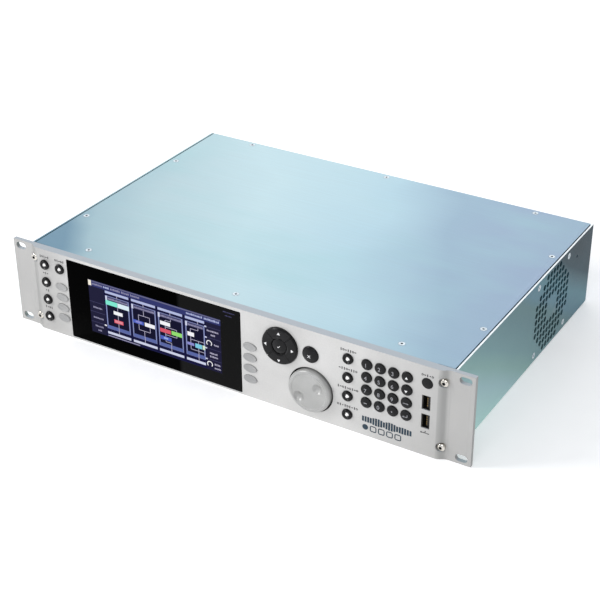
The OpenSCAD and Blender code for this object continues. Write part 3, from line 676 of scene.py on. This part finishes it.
# %% Jog wheel
wheel_at = axis_of("jog_wheel")
wheel_r = (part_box("jog_wheel")[1][0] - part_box("jog_wheel")[0][0]) / 2 / MM
wheel_top = -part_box("jog_wheel")[0][1] / MM
dish_h = wheel_top - 0.6
face_radii = [wheel_r - 4.6 - 0.36 * i for i in range(45)]
outline = ([(0, -10.0), (3.0, -10.0), (3.0, 3.6), (wheel_r - 0.6, 3.6, 0.4),
            (wheel_r, wheel_top - 0.3, 2.6), (wheel_r - 3.4, wheel_top, 1.2),
            (wheel_r - 4.2, dish_h, 0.5)]
           + [(r, dish_h) for r in face_radii if r > 0.2] + [(0, dish_h)])
bm = spun(outline, wheel_at, 144, 6)
dimple_r, dimple_depth, dimple_out = 5.2, 3.0, 11.4
dimple_shift = (-0.5, -1.2)
for angle in (34, 214):
    cx = (wheel_at[0] + dimple_shift[0] + dimple_out * math.cos(math.radians(angle))) * MM
    cz = (wheel_at[1] + dimple_shift[1] + dimple_out * math.sin(math.radians(angle))) * MM
    for vert in bm.verts:
        away = math.hypot(vert.co.x - cx, vert.co.z - cz) / (dimple_r * MM)
        if away < 1 and vert.co.y < -(dish_h - 1) * MM:
            vert.co.y += dimple_depth * MM * (1 - away * away) ** 1.1
bmesh.ops.recalc_face_normals(bm, faces=bm.faces)
for face in bm.faces:
    spot = face.calc_center_median() / MM
    away = math.hypot(spot.x - wheel_at[0], spot.z - wheel_at[1])
    if wheel_r - 3.7 < away < wheel_r - 2.4 and spot.y < -(wheel_top - 1.2):
        face.material_index = 1
wheel_lip = finish("polished_wheel_lip", ("#A4A4A2", "#B4B4B2"), patch=22, grain=0.6,
                   rough=(0.18, 0.28), Metallic=0.35)
piece(bm, "jog_wheel_disc", [wheel_abs, wheel_lip], "jog_wheel",
      ("jog_wheel",), smooth=40)

# %% [markdown]
# ## Display window
# The window is one slab of black acrylic with small round corners, flush in
# the panel. A cube scaled to size and bevelled twice gives it: first the
# four upright corners, then every edge a little.

# %% Window
def slab(name, low, high, corner, edge, material, stands_for=()):
    """A block between two corners in mm, rounded as seen from the front."""
    bm = bmesh.new()
    size = [(b - a) * MM for a, b in zip(low, high)]
    middle = [(a + b) / 2 * MM for a, b in zip(low, high)]
    bmesh.ops.create_cube(bm, size=1.0)
    bmesh.ops.scale(bm, verts=bm.verts, vec=size)
    bmesh.ops.translate(bm, verts=bm.verts, vec=middle)
    along_y = [e for e in bm.edges if abs(e.verts[0].co.y - e.verts[1].co.y) > size[1] * 0.9]
    bmesh.ops.bevel(bm, geom=along_y, offset=corner * MM, segments=6, profile=0.5,
                    affect="EDGES", clamp_overlap=True, material=-1)
    if edge:
        rims = [e for e in bm.edges if e.calc_face_angle(0.0) > math.radians(60)]
        bmesh.ops.bevel(bm, geom=rims, offset=edge * MM, segments=2, profile=0.5,
                        affect="EDGES", clamp_overlap=True, material=-1)
    return piece(bm, name, material, stands_for=stands_for)


window_low, window_high = [[v / MM for v in corner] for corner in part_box("display_window")]
slab("window_glass", window_low, window_high, 1.2, 0.12, window_black,
     ("display_window",))

# %% [markdown]
# ## Flat art
# Prints and the lit picture are thin films. Each is drawn as flat shapes in
# front of the panel, and then pushed out by a few hundredths of a millimetre
# so that it is a closed solid. Shapes are placed in millimetres, by X and Z.

# %% Flat shapes
FACING = Matrix.Rotation(math.pi / 2, 4, "X")


def shape(bm, at, size, h, sides=4, spin=0.0, layer=0):
    """A regular outline with that many sides, fitted to size, at height h."""
    turn = math.pi / 4 if sides == 4 else 0.0
    unit = math.sqrt(2) if sides == 4 else 2.0
    made = bmesh.ops.create_circle(bm, cap_ends=True, radius=unit / 2 * (1 if sides == 4 else 0.5),
                                   segments=sides, matrix=Matrix.Rotation(turn, 4, "Z"))
    verts = made["verts"]
    bmesh.ops.scale(bm, verts=verts, vec=(size[0] * MM, size[1] * MM, 1))
    bmesh.ops.transform(bm, verts=verts,
                        matrix=Matrix.Translation((at[0] * MM, -h * MM, at[1] * MM))
                        @ FACING @ Matrix.Rotation(spin, 4, "Z"))
    for face in {f for v in verts for f in v.link_faces}:
        face.material_index = layer
    return verts


def line(bm, start, end, width, h, layer=0):
    """A straight stroke between two points."""
    run = Vector(end) - Vector(start)
    middle = (Vector(start) + Vector(end)) / 2
    shape(bm, middle, (run.length, width), h, 4, math.atan2(run.y, run.x), layer)


def arc(bm, at, r, width, h, start, end, layer=0, steps=20):
    """A stroke along part of a circle, as a chain of short strokes."""
    points = [(at[0] + r * math.cos(math.radians(start + (end - start) * i / steps)),
               at[1] + r * math.sin(math.radians(start + (end - start) * i / steps)))
              for i in range(steps + 1)]
    for a, b in zip(points, points[1:]):
        line(bm, a, b, width, h, layer)


def film(bm, thick=0.03):
    """Gives flat shapes a thickness to the front, as closed solids."""
    for face in bm.faces:
        if face.normal.y > 0:
            face.normal_flip()
    made = bmesh.ops.extrude_face_region(bm, geom=bm.faces[:])
    verts = [v for v in made["geom"] if isinstance(v, bmesh.types.BMVert)]
    bmesh.ops.translate(bm, verts=verts, vec=(0, -thick * MM, 0))
    bmesh.ops.recalc_face_normals(bm, faces=bm.faces)
    return bm

# %% [markdown]
# ## Picture on the display
# The display shows a signal chain: four slots side by side, each with a
# heading bar, a frame that holds small effect blocks joined by wires, and a
# level bar underneath. Menus run down both sides, and two dials stand at the
# right. Words are drawn as rows of short dashes. Every colour is one
# glowing material, and the blocks lie in layers 0.02 mm apart.

# %% Colours of the picture
picture_colours = {
    "ground": ("#22224F", 0.9), "navy": ("#14143F", 0.9), "deep": ("#12112E", 0.9),
    "menu": ("#201F3C", 0.9), "band": ("#33386F", 0.95), "glow": ("#6E6E8C", 0.9),
    "edge": ("#8A93C2", 0.95), "slate": ("#5C69A6", 0.95), "bar": ("#B3BBE0", 1.0),
    "foot": ("#CDD1E8", 1.0), "text": ("#9A97B4", 0.95), "wire": ("#B7B3CA", 0.95),
    "dim": ("#4C4B72", 0.9), "cream": ("#F6EFDF", 1.0), "white": ("#F4F4F8", 1.0),
    "aqua": ("#7FE8D0", 1.0), "pale": ("#DCEEF6", 1.0), "red": ("#D9586C", 1.0),
    "rose": ("#E08C97", 1.0), "blue": ("#4F62BE", 1.0), "sky": ("#9DB0E4", 1.0),
    "green": ("#92DC70", 1.0), "lilac": ("#8B8CD0", 1.0), "cyan": ("#7CC9E0", 1.0),
    "lime": ("#D3E8CE", 1.0), "black": ("#020208", 0.5),
}
picture_names = list(picture_colours)
picture_materials = [glowing("display_" + key, code, strength)
                     for key, (code, strength) in picture_colours.items()]
rng = random.Random(7)

# %% Draw the picture
picture = bmesh.new()
LIFT = 0.02


def patch(x0, x1, z0, z1, tint, level):
    shape(picture, ((x0 + x1) / 2, (z0 + z1) / 2), (abs(x1 - x0), abs(z1 - z0)),
          face_h + level * LIFT, 4, 0.0, picture_names.index(tint))


def wire(points, level=4, tint="wire", width=0.6):
    for a, b in zip(points, points[1:]):
        line(picture, a, b, width, face_h + level * LIFT, picture_names.index(tint))


def dashes(x0, x1, z, high, tint="text", level=3):
    """A row of short dashes that stands for a word."""
    x = x0
    while x < x1:
        step = rng.uniform(0.55, 1.3)
        patch(x, min(x + step, x1), z - high / 2, z + high / 2 * rng.uniform(0.4, 1.0),
              tint, level)
        x += step + rng.uniform(0.3, 0.55)


left, right, low, top = -150.2, -2.8, -29.2, 27.0
patch(left, right, low, top, "ground", 0)
patch(left, right, 20.6, 26.9, "band", 1)
patch(left, right, 25.4, 26.6, "glow", 2)
patch(left, left + 3.4, 21.0, 26.6, "cream", 3)
for x0, x1, tint in ((-145.8, -134.2, "text"), (-132.8, -126.0, "bar"), (-124.6, -113.4, "text"),
                     (-112.0, -103.0, "text"), (-101.6, -91.6, "text"), (-39.6, -22.0, "bar"),
                     (-20.4, -4.4, "bar")):
    dashes(x0, x1, 23.5, 2.2, tint)
patch(left, -132.6, low, 20.6, "menu", 1)
for z in (4.0, -6.6, -17.7):
    patch(left, -132.9, z - 0.2, z + 0.2, "dim", 2)
for x0, x1, z in ((-146.4, -135.8, -1.5), (-147.0, -135.2, -12.5), (-145.6, -136.2, -21.6),
                  (-142.8, -138.6, -25.8)):
    dashes(x0, x1, z, 1.9)
patch(-134.6, -132.0, -18.6, -17.2, "white", 3)

slot_x = [-131.2, -101.2, -71.3, -41.1]
slot_ends = [-104.2, -74.0, -44.1, -20.2]
for x, end in zip(slot_x, slot_ends):
    middle = x + 13.6
    patch(x - 1.6, end + 1.6, low + 0.4, 20.4, "navy", 1)
    patch(x, end, 17.6, 20.2, "bar", 2)
    patch(x, end, -20.2, 15.2, "edge", 2)
    patch(x + 1.2, end - 1.2, -16.4, 14.4, "deep", 3)
    patch(x + 0.6, end - 0.6, -20.0, -16.4, "slate", 3)
    patch(x + 1.2, end - 1.2, 10.8, 14.6, "dim", 4)
    patch(x, x + 2.1, 10.2, 14.9, "foot", 5)
    dashes(x + 3.0, end - 1.6, 12.4, 1.9, "text", 5)
    patch(x, end, -26.0, -23.4, "foot", 2)
    wire([(middle, 17.6), (middle, 14.8)], 6)
    wire([(middle, -16.4), (middle, -23.4)], 6)
patch(slot_x[0], -94.2, -28.6, -27.6, "text", 2)

# First slot: two blocks in a row under the heading, then a white and a red one
x = slot_x[0]
wire([(x + 13.6, 10.8), (x + 13.6, -16.4)])
patch(x, x + 13.5, 5.6, 10.4, "aqua", 5)
patch(x + 14.0, x + 27.0, 5.6, 10.4, "pale", 5)
patch(x + 8.6, x + 18.9, -2.8, 0.9, "white", 5)
patch(x + 8.6, x + 19.2, -11.9, -8.1, "red", 5)
patch(x + 9.6, x + 18.2, -11.2, -8.8, "rose", 6)
# Second slot: two blocks side by side in a loop of wire
x = slot_x[1]
wire([(x + 13.4, 10.8), (x + 13.4, 5.2)])
wire([(x + 13.4, 5.2), (x + 7.4, 5.2), (x + 7.4, -10.6), (x + 20.0, -10.6), (x + 20.0, 5.2),
      (x + 13.4, 5.2)])
wire([(x + 13.4, -10.6), (x + 13.4, -16.4)])
patch(x + 0.8, x + 13.0, -4.6, -1.0, "blue", 5)
patch(x + 3.8, x + 10.6, -3.6, -1.8, "lilac", 6)
patch(x + 14.2, x + 25.6, -4.9, -0.9, "white", 5)
# Third slot: white over red and green, over blue
x = slot_x[2]
wire([(x + 13.8, 10.8), (x + 13.8, 8.4), (x + 7.6, 8.4), (x + 7.6, 1.4), (x + 20.2, 1.4),
      (x + 20.2, -6.8), (x + 7.6, -6.8), (x + 7.6, -14.2), (x + 13.8, -14.2),
      (x + 13.8, -16.4)])
wire([(x + 7.6, 1.4), (x + 7.6, -6.8)])
patch(x + 1.9, x + 13.2, 2.9, 6.8, "white", 5)
patch(x + 1.6, x + 13.6, -5.0, -0.9, "red", 5)
patch(x + 14.4, x + 26.0, -4.8, -0.6, "green", 5)
patch(x + 1.6, x + 13.9, -12.8, -8.8, "blue", 5)
patch(x + 5.4, x + 10.2, -11.6, -9.8, "sky", 6)
# Fourth slot: white over lilac, cyan and lime
x = slot_x[3]
wire([(x + 13.7, 10.8), (x + 13.7, 8.2), (x + 5.3, 8.2), (x + 5.3, -2.8), (x + 20.6, -2.8)])
wire([(x + 5.3, -2.8), (x + 5.3, -13.2), (x + 20.6, -13.2)])
wire([(x + 13.7, -2.8), (x + 13.7, -16.4)])
patch(x + 2.0, x + 9.2, 0.4, 4.6, "white", 5)
patch(x + 1.4, x + 8.9, -9.3, -6.5, "lilac", 5)
patch(x + 10.1, x + 17.5, -10.2, -5.7, "cyan", 5)
patch(x + 18.1, x + 20.8, -10.0, -5.5, "lime", 5)

patch(-19.9, right, low, 20.6, "menu", 1)
for z in (15.7, 4.6, -6.6, -18.0):
    patch(-19.6, right - 0.4, z - 0.2, z + 0.2, "dim", 2)
    patch(-20.2, -18.0, z - 0.8, z + 0.6, "foot", 7)
for x0, x1, z in ((-17.7, -5.2, 12.2), (-13.6, -9.1, 8.2), (-10.5, -5.2, -1.4),
                  (-15.2, -7.2, -11.0), (-15.2, -6.6, -14.4), (-10.5, -4.2, -21.8),
                  (-10.7, -3.8, -25.8)):
    dashes(x0, x1, z, 1.9, "wire")
for z in (-1.0, -23.0):
    arc(picture, (-15.7, z), 2.7, 0.9, face_h + 4 * LIFT, -45, 225,
        picture_names.index("white"))
dashes(0.4, 12.4, 36.8, 1.2, "dim", 1)
dashes(2.4, 9.4, 33.2, 1.2, "dim", 1)
piece(film(picture, 0.02), "display_picture", picture_materials)

# %% [markdown]
# ## Printed legends on the panel
# Beside each mode key stands a small printed sign. The signs here are plain
# symbols in rows: dots, bars, dashes, rings and arrows. A larger mark stands
# under the number keys.

# %% Signs above the keys
def sign(bm, at, count, tall, h, kinds):
    """A row of count small symbols, centred at a point."""
    pitch = tall * 0.88
    start = at[0] - pitch * (count - 1) / 2
    for i in range(count):
        spot = (start + i * pitch, at[1])
        kind = kinds[i % len(kinds)]
        if kind == "bar":
            shape(bm, spot, (tall * 0.36, tall), h)
        elif kind == "dash":
            shape(bm, spot, (tall * 0.66, tall * 0.36), h)
        elif kind == "dot":
            shape(bm, spot, (tall * 0.5, tall * 0.5), h, 14)
        elif kind == "up":
            shape(bm, spot, (tall * 0.8, tall * 0.8), h, 3)
        else:
            arc(bm, spot, tall * 0.3, tall * 0.24, h, 0, 360, steps=12)


usb_x = axis_of("usb_sockets")[0]
ink = bmesh.new()
ink_h = face_h + 0.005
sign_plans = [
    ("mode_key_1", 8.2, 11.0, ["bar", "ring", "bar", "dash"]),
    ("mode_key_2", 9.5, 8.0, ["dash", "bar", "dot"]),
    ("mode_key_3", 9.6, 5.4, ["up", "bar"]),
    ("mode_key_4", 9.8, 8.2, ["bar", "dot", "ring", "bar"]),
    ("mode_key_5", 8.2, 12.4, ["ring", "bar", "dash"]),
    ("mode_key_6", 7.8, 16.0, ["bar", "ring", "dash", "bar"]),
    ("mode_key_7", 8.0, 17.4, ["dash", "bar", "bar", "ring"]),
    ("mode_key_8", 7.8, 21.0, ["bar", "dash", "ring"]),
    ("mode_key_9", 8.0, 21.0, ["ring", "bar", "dot", "bar"]),
    ("power_key", 7.4, 12.0, ["ring", "dash", "bar", "dot"]),
]
sign_tall = 2.6
for node, above, wide, kinds in sign_plans:
    at = axis_of(node)
    count = round(wide / (sign_tall * 0.88))
    sign(ink, (at[0], at[1] + above), count, sign_tall, ink_h, kinds)
low_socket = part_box("usb_sockets")[0][2] / MM
line(ink, (usb_x - 3.6, low_socket - 5.0), (usb_x + 2.6, low_socket - 5.0), 0.6, ink_h)
shape(ink, (usb_x + 3.2, low_socket - 5.0), (2.0, 2.0), ink_h + 0.004, 3, -math.pi / 2)
shape(ink, (usb_x - 3.4, low_socket - 5.0), (1.6, 1.6), ink_h + 0.004, 14)
line(ink, (usb_x - 1.4, low_socket - 5.0), (usb_x + 0.4, low_socket - 3.8), 0.5, ink_h + 0.008)
shape(ink, (usb_x + 0.6, low_socket - 3.6), (1.2, 1.2), ink_h + 0.012, 14)
piece(film(ink), "panel_signs", dark_ink)

# %% [markdown]
# The large mark is a row of bars whose heights follow a swelling wave, over
# a disc and four outlined squares with cut corners.

# %% Large mark
mark = bmesh.new()
mark_x0, mark_x1, mark_z = 141.6, 187.0, -27.0
bars = 19
for i in range(bars):
    t = i / (bars - 1)
    high = 5.2 + 3.2 * math.sin(math.pi * t) * abs(math.cos(3.4 * math.pi * t))
    shape(mark, (mark_x0 + (mark_x1 - mark_x0) * t, mark_z), (1.95, high), ink_h)
for i in range(4):
    x, z = 151.6 + i * 7.9, -35.2
    for side in (-1, 1):
        line(mark, (x - 2.0, z + side * 2.6), (x + 2.0, z + side * 2.6), 1.0, ink_h)
        line(mark, (x + side * 2.7, z - 1.9), (x + side * 2.7, z + 1.9), 1.0, ink_h)
        for up in (-1, 1):
            line(mark, (x + side * 2.7, z + up * 1.9), (x + side * 2.0, z + up * 2.6), 1.0,
                 ink_h + 0.004)
shape(mark, (143.9, -35.2), (5.6, 5.6), ink_h, 24)
piece(film(mark), "panel_mark", mark_ink)

# %% [markdown]
# ## Legends on the keys
# Numbers come from Blender's own font. A text object is turned into a mesh
# before it is put in place, so that its object can stay at the origin. The
# arrows are three-sided shapes, and a tick and a cross mark the select and
# cancel keys.

# %% Key legends
def digit(text, at, tall, h):
    """A bmesh of one printed character, centred at [x, z]."""
    curve = bpy.data.curves.new("digit", "FONT")
    curve.body = text
    curve.size = tall * 1.42 * MM
    curve.extrude = 0.02 * MM
    curve.offset = 0.04 * MM
    maker = bpy.data.objects.new("digit", curve)
    bpy.context.collection.objects.link(maker)
    mesh = bpy.data.meshes.new_from_object(maker)
    bm = bmesh.new()
    bm.from_mesh(mesh)
    xs = [v.co.x for v in bm.verts]
    ys = [v.co.y for v in bm.verts]
    middle = Vector(((min(xs) + max(xs)) / 2, (min(ys) + max(ys)) / 2, 0))
    bmesh.ops.transform(bm, verts=bm.verts,
                        matrix=Matrix.Translation((at[0] * MM, -h * MM, at[1] * MM))
                        @ FACING @ Matrix.Translation(-middle))
    bmesh.ops.remove_doubles(bm, verts=bm.verts, dist=1e-6)
    bpy.data.objects.remove(maker)
    bpy.data.curves.remove(curve)
    bpy.data.meshes.remove(mesh)
    return bm


key_top = -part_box("number_key_1")[0][1] / MM + 0.02
for name in number_names:
    node = "number_key_" + name
    at = axis_of(node)
    tone = key_ink
    if name.isdigit():
        legend = digit(name, (at[0] - 0.3, at[1] - 0.1), 3.7, key_top)
    else:
        legend = bmesh.new()
        if name in ("up", "down"):
            shape(legend, (at[0], at[1] - 0.5), (3.2, 3.0), key_top, 3,
                  0.0 if name == "up" else math.pi)
            tone = white_ink
        elif name == "shift":
            line(legend, (at[0] - 2.4, at[1]), (at[0] + 1.0, at[1]), 0.6, key_top)
            shape(legend, (at[0] + 1.8, at[1]), (2.2, 2.2), key_top + 0.005, 3, -math.pi / 2)
        elif name == "minus":
            shape(legend, at, (3.0, 0.8), key_top)
        elif name == "point":
            shape(legend, at, (1.3, 1.3), key_top, 18)
        else:
            line(legend, (at[0] + 2.0, at[1] + 1.6), (at[0] + 2.0, at[1] - 0.7), 0.6, key_top)
            line(legend, (at[0] + 2.0, at[1] - 0.7), (at[0] - 0.8, at[1] - 0.7), 0.6,
                 key_top + 0.005)
            shape(legend, (at[0] - 1.6, at[1] - 0.7), (2.2, 2.2), key_top + 0.01, 3,
                  math.pi / 2)
        film(legend, 0.02)
    piece(legend, node + "_legend", tone, node)

for i, name in enumerate(arrow_names):
    node = "arrow_key_" + name
    around = math.radians(90 * i)
    spot = (nav[0] - 13.3 * math.sin(around), nav[1] - 0.5 + 13.3 * math.cos(around))
    legend = bmesh.new()
    shape(legend, spot, (3.6, 3.3), -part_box(node)[0][1] / MM - 0.02, 3, around)
    piece(film(legend, 0.04), node + "_legend", white_ink, node)

legend = bmesh.new()
top = -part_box("select_key")[0][1] / MM + 0.01
line(legend, (nav[0] - 1.2, nav[1]), (nav[0] - 0.3, nav[1] - 1.0), 0.5, top)
line(legend, (nav[0] - 0.4, nav[1] - 1.0), (nav[0] + 1.5, nav[1] + 1.2), 0.5, top + 0.005)
piece(film(legend, 0.02), "select_key_legend", white_ink, "select_key")

cancel = axis_of("cancel_key")
cancel[1] -= 0.6
legend = bmesh.new()
top = -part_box("cancel_key")[0][1] / MM + 0.01
for side in (-1, 1):
    line(legend, (cancel[0] - 1.3, cancel[1] - 1.3 * side),
         (cancel[0] + 1.3, cancel[1] + 1.3 * side), 0.5, top + 0.005 * (side + 1))
piece(film(legend, 0.02), "cancel_key_legend", white_ink, "cancel_key")

# %% [markdown]
# ## Screws, sockets, fan and rear
# These small CAD parts already have the right shape. A welded copy with a
# fine bevel and smooth shading is enough, and a face's place tells whether
# it is metal, gold or plastic.

# %% Screws
screw_low, screw_high = [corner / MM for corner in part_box("panel_screws")]
head_r, recess_r = 3.6, 1.62
recess_span = (-7.75, -6.1)


def socket_pick(face):
    """The faces of the hex recess in the head of a panel screw, painted dark as shade."""
    spot = face.calc_center_median() / MM
    off_x = min(abs(spot.x - screw_low.x - head_r), abs(spot.x - screw_high.x + head_r))
    off_z = min(abs(spot.z - screw_low.z - head_r), abs(spot.z - screw_high.z + head_r))
    inside = math.hypot(off_x, off_z) < recess_r
    return 1 if inside and recess_span[0] < spot.y < recess_span[1] else 0


# Painted shade: the hex recesses take a dark colour that stands for the shade in them
recess_painted_shade = finish("screw_recess_painted_shade", ("#1A1D20", "#2B2F33"), patch=2, grain=0.3,
                     rough=(0.4, 0.55), Metallic=0.6)
refined("panel_screws", "panel_screw_set", [nickel, recess_painted_shade], 0.12,
        socket_pick)
head_top = tray_top


def screw_pick(face):
    """The faces of the hex recess in the head of a cover screw, painted dark as shade."""
    middle = face.calc_center_median()
    return 1 if head_top - 1.0 * MM < middle.z < head_top - 0.08 * MM else 0


refined("case_screws", "case_screw_set", [zinc_screw, recess_painted_shade], 0.08,
        screw_pick)

# %% USB sockets
tongue_low, tongue_high = usb_x + 0.25, usb_x + 2.15


def usb_pick(face):
    spot = face.calc_center_median() / MM
    return 1 if tongue_low < spot.x < tongue_high and -6.1 < spot.y < 9.5 else 0


refined("usb_sockets", "usb_socket_pair", [shell_shade_steel, glass_fill], 0.05,
        usb_pick)
contacts = bmesh.new()
socket_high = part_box("usb_sockets")[1][2] / MM
for middle in (low_socket + 6.7, socket_high - 6.7):
    for step in (-3.5, -1.2, 1.2, 3.5):
        at = Vector((usb_x + 0.6, -3.9, middle + step)) * MM
        strip = bmesh.ops.create_cube(contacts, size=1.0)
        bmesh.ops.scale(contacts, verts=strip["verts"], vec=Vector((0.8, 4.6, 1.4)) * MM)
        bmesh.ops.translate(contacts, verts=strip["verts"], vec=at)
piece(contacts, "usb_contacts", gold)

# %% Fan
refined("fan_frame", "fan_duct", [glass_fill], 0.3)
refined("fan_rotor", "fan_impeller", [glass_fill], 0.2, body="fan_rotor")

# %% Rear sockets
refined("mains_inlet", "mains_inlet_moulding", [glass_fill], 0.2)
refined("rear_connectors", "rear_socket_set", [glass_fill, galvanised],
        0.15)

# %% [markdown]
# ## Parts inside
# The boards, heat sinks and supply are hidden by the cover, so the CAD parts
# stay as they are and only get their materials.

# %% Materials of the inner parts
inner = {"main_board": solder_mask, "control_board": solder_mask,
         "processor_modules": black_anodised, "power_supply": galvanised,
         "display_module": glass_fill, "wheel_encoder": galvanised}
for node, material in inner.items():
    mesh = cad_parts[node].data
    if mesh.materials:
        mesh.materials[0] = material
    else:
        mesh.materials.append(material)

# %% [markdown]
# ## Fan leads
# The fan's two thin leads run from its hub along a strut and down behind the
# grille. They are held all the way, so they are plain tubes on fixed routes.

# %% Fan leads
def lead(name, points, radius, material):
    """A round tube through points given in mm."""
    curve = bpy.data.curves.new(name, "CURVE")
    curve.dimensions = "3D"
    curve.bevel_depth = radius * MM
    curve.bevel_resolution = 3
    spline = curve.splines.new("NURBS")
    spline.points.add(len(points) - 1)
    for spot, point in zip(spline.points, points):
        spot.co = (*[v * MM for v in point], 1.0)
    spline.use_endpoint_u = True
    curve.use_fill_caps = True
    maker = bpy.data.objects.new(name, curve)
    bpy.context.collection.objects.link(maker)
    mesh = bpy.data.meshes.new_from_object(maker)
    bpy.data.objects.remove(maker)
    bm = bmesh.new()
    bm.from_mesh(mesh)
    bpy.data.meshes.remove(mesh)
    return piece(bm, name, material)


hub_y = (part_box("fan_frame")[0][1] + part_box("fan_frame")[1][1]) / 2 / MM
lead_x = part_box("fan_frame")[1][0] / MM - 0.8
red_pvc = finish("red_pvc_sleeve", ("#A8242C", "#C43A3E"), patch=4, grain=0.4,
                 rough=(0.3, 0.45))
black_pvc = finish("black_pvc_sleeve", ("#121213", "#1E1E20"), patch=4, grain=0.4,
                   rough=(0.3, 0.45))
red_route = [(-4, -1), (-8, -2), (-11, -6), (-15, -14), (-20, -20), (-27, -27), (-31, -31)]
black_route = [(y + 1.2, z - 1.2) for y, z in red_route]
for name, route, material in (("fan_lead_red", red_route, red_pvc),
                              ("fan_lead_black", black_route, black_pvc)):
    lead(name, [(lead_x, hub_y + y, z) for y, z in route], 0.55, material)
# A small white disc on the side of the fan, seen through the grille
white_disc = bmesh.new()
bmesh.ops.create_cone(white_disc, cap_ends=True, segments=24, radius1=1.9 * MM, radius2=1.9 * MM,
                      depth=0.1 * MM,
                      matrix=Matrix.Translation(((lead_x - 0.65) * MM, (hub_y + 5) * MM, 11 * MM))
                      @ Matrix.Rotation(math.pi / 2, 4, "Y"))
piece(white_disc, "fan_white_disc", white_ink)

# %% [markdown]
# ## Room and light
# The floor is pale and plain, and glows a little so that shadows on it stay
# faint. One soft light stands in front on the left and draws the highlights
# on keys and wheel. A weaker one in front fills the panel, and a third at the
# back is mirrored by the cover. A grey sky, brighter low down, fills the rest.

# %% Floor, world and lights
floor_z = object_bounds()[0][2] - 0.0002
floor_bm = bmesh.new()
bmesh.ops.create_grid(floor_bm, x_segments=1, y_segments=1, size=6.0,
                      matrix=Matrix.Translation((0, 0, floor_z)))
floor_mesh = bpy.data.meshes.new("floor")
floor_bm.to_mesh(floor_mesh)
floor_bm.free()
floor = bpy.data.objects.new("floor", floor_mesh)
bpy.context.collection.objects.link(floor)
paper = finish("pale_studio_paper", ("#F4F4F4", "#FAFAFA"), patch=900, grain=20,
               rough=(0.8, 0.95), Emission_Color=(1, 1, 1, 1), Emission_Strength=0.3)
floor_mesh.materials.append(paper)

world = bpy.data.worlds.new("room")
bpy.context.scene.world = world
world.use_nodes = True
tree = world.node_tree
toward = add(tree, "ShaderNodeTexCoord").outputs["Generated"]
height = add(tree, "ShaderNodeSeparateXYZ", {}, {"Vector": toward})
sky = add(tree, "ShaderNodeValToRGB", {}, {"Fac": height.outputs["Z"]})
sky.color_ramp.elements[0].position = 0.0
sky.color_ramp.elements[0].color = (0.72, 0.74, 0.78, 1)
sky.color_ramp.elements[1].position = 1.0
sky.color_ramp.elements[1].color = (0.5, 0.51, 0.53, 1)
tree.links.new(sky.outputs["Color"], tree.nodes["Background"].inputs["Color"])
tree.nodes["Background"].inputs["Strength"].default_value = 1.0


def soft_light(name, place, aim, size, power):
    data = bpy.data.lights.new(name, "AREA")
    data.shape = "DISK"
    data.size = size
    data.energy = power
    light = bpy.data.objects.new(name, data)
    bpy.context.collection.objects.link(light)
    facing = (Vector(aim) - Vector(place)).to_track_quat("-Z", "Y").to_matrix().to_4x4()
    light.matrix_world = Matrix.Translation(place) @ facing


soft_light("key", (-2.5, -1.6, 1.9), (0, 0, 0), 1.1, 54)
soft_light("front", (0.6, -2.4, 1.5), (0, 0, 0), 1.6, 17)
soft_light("back", (-1.0, 1.9, 1.3), (0, 0.15, 0), 1.9, 8)
bpy.context.scene.view_settings.view_transform = "Standard"
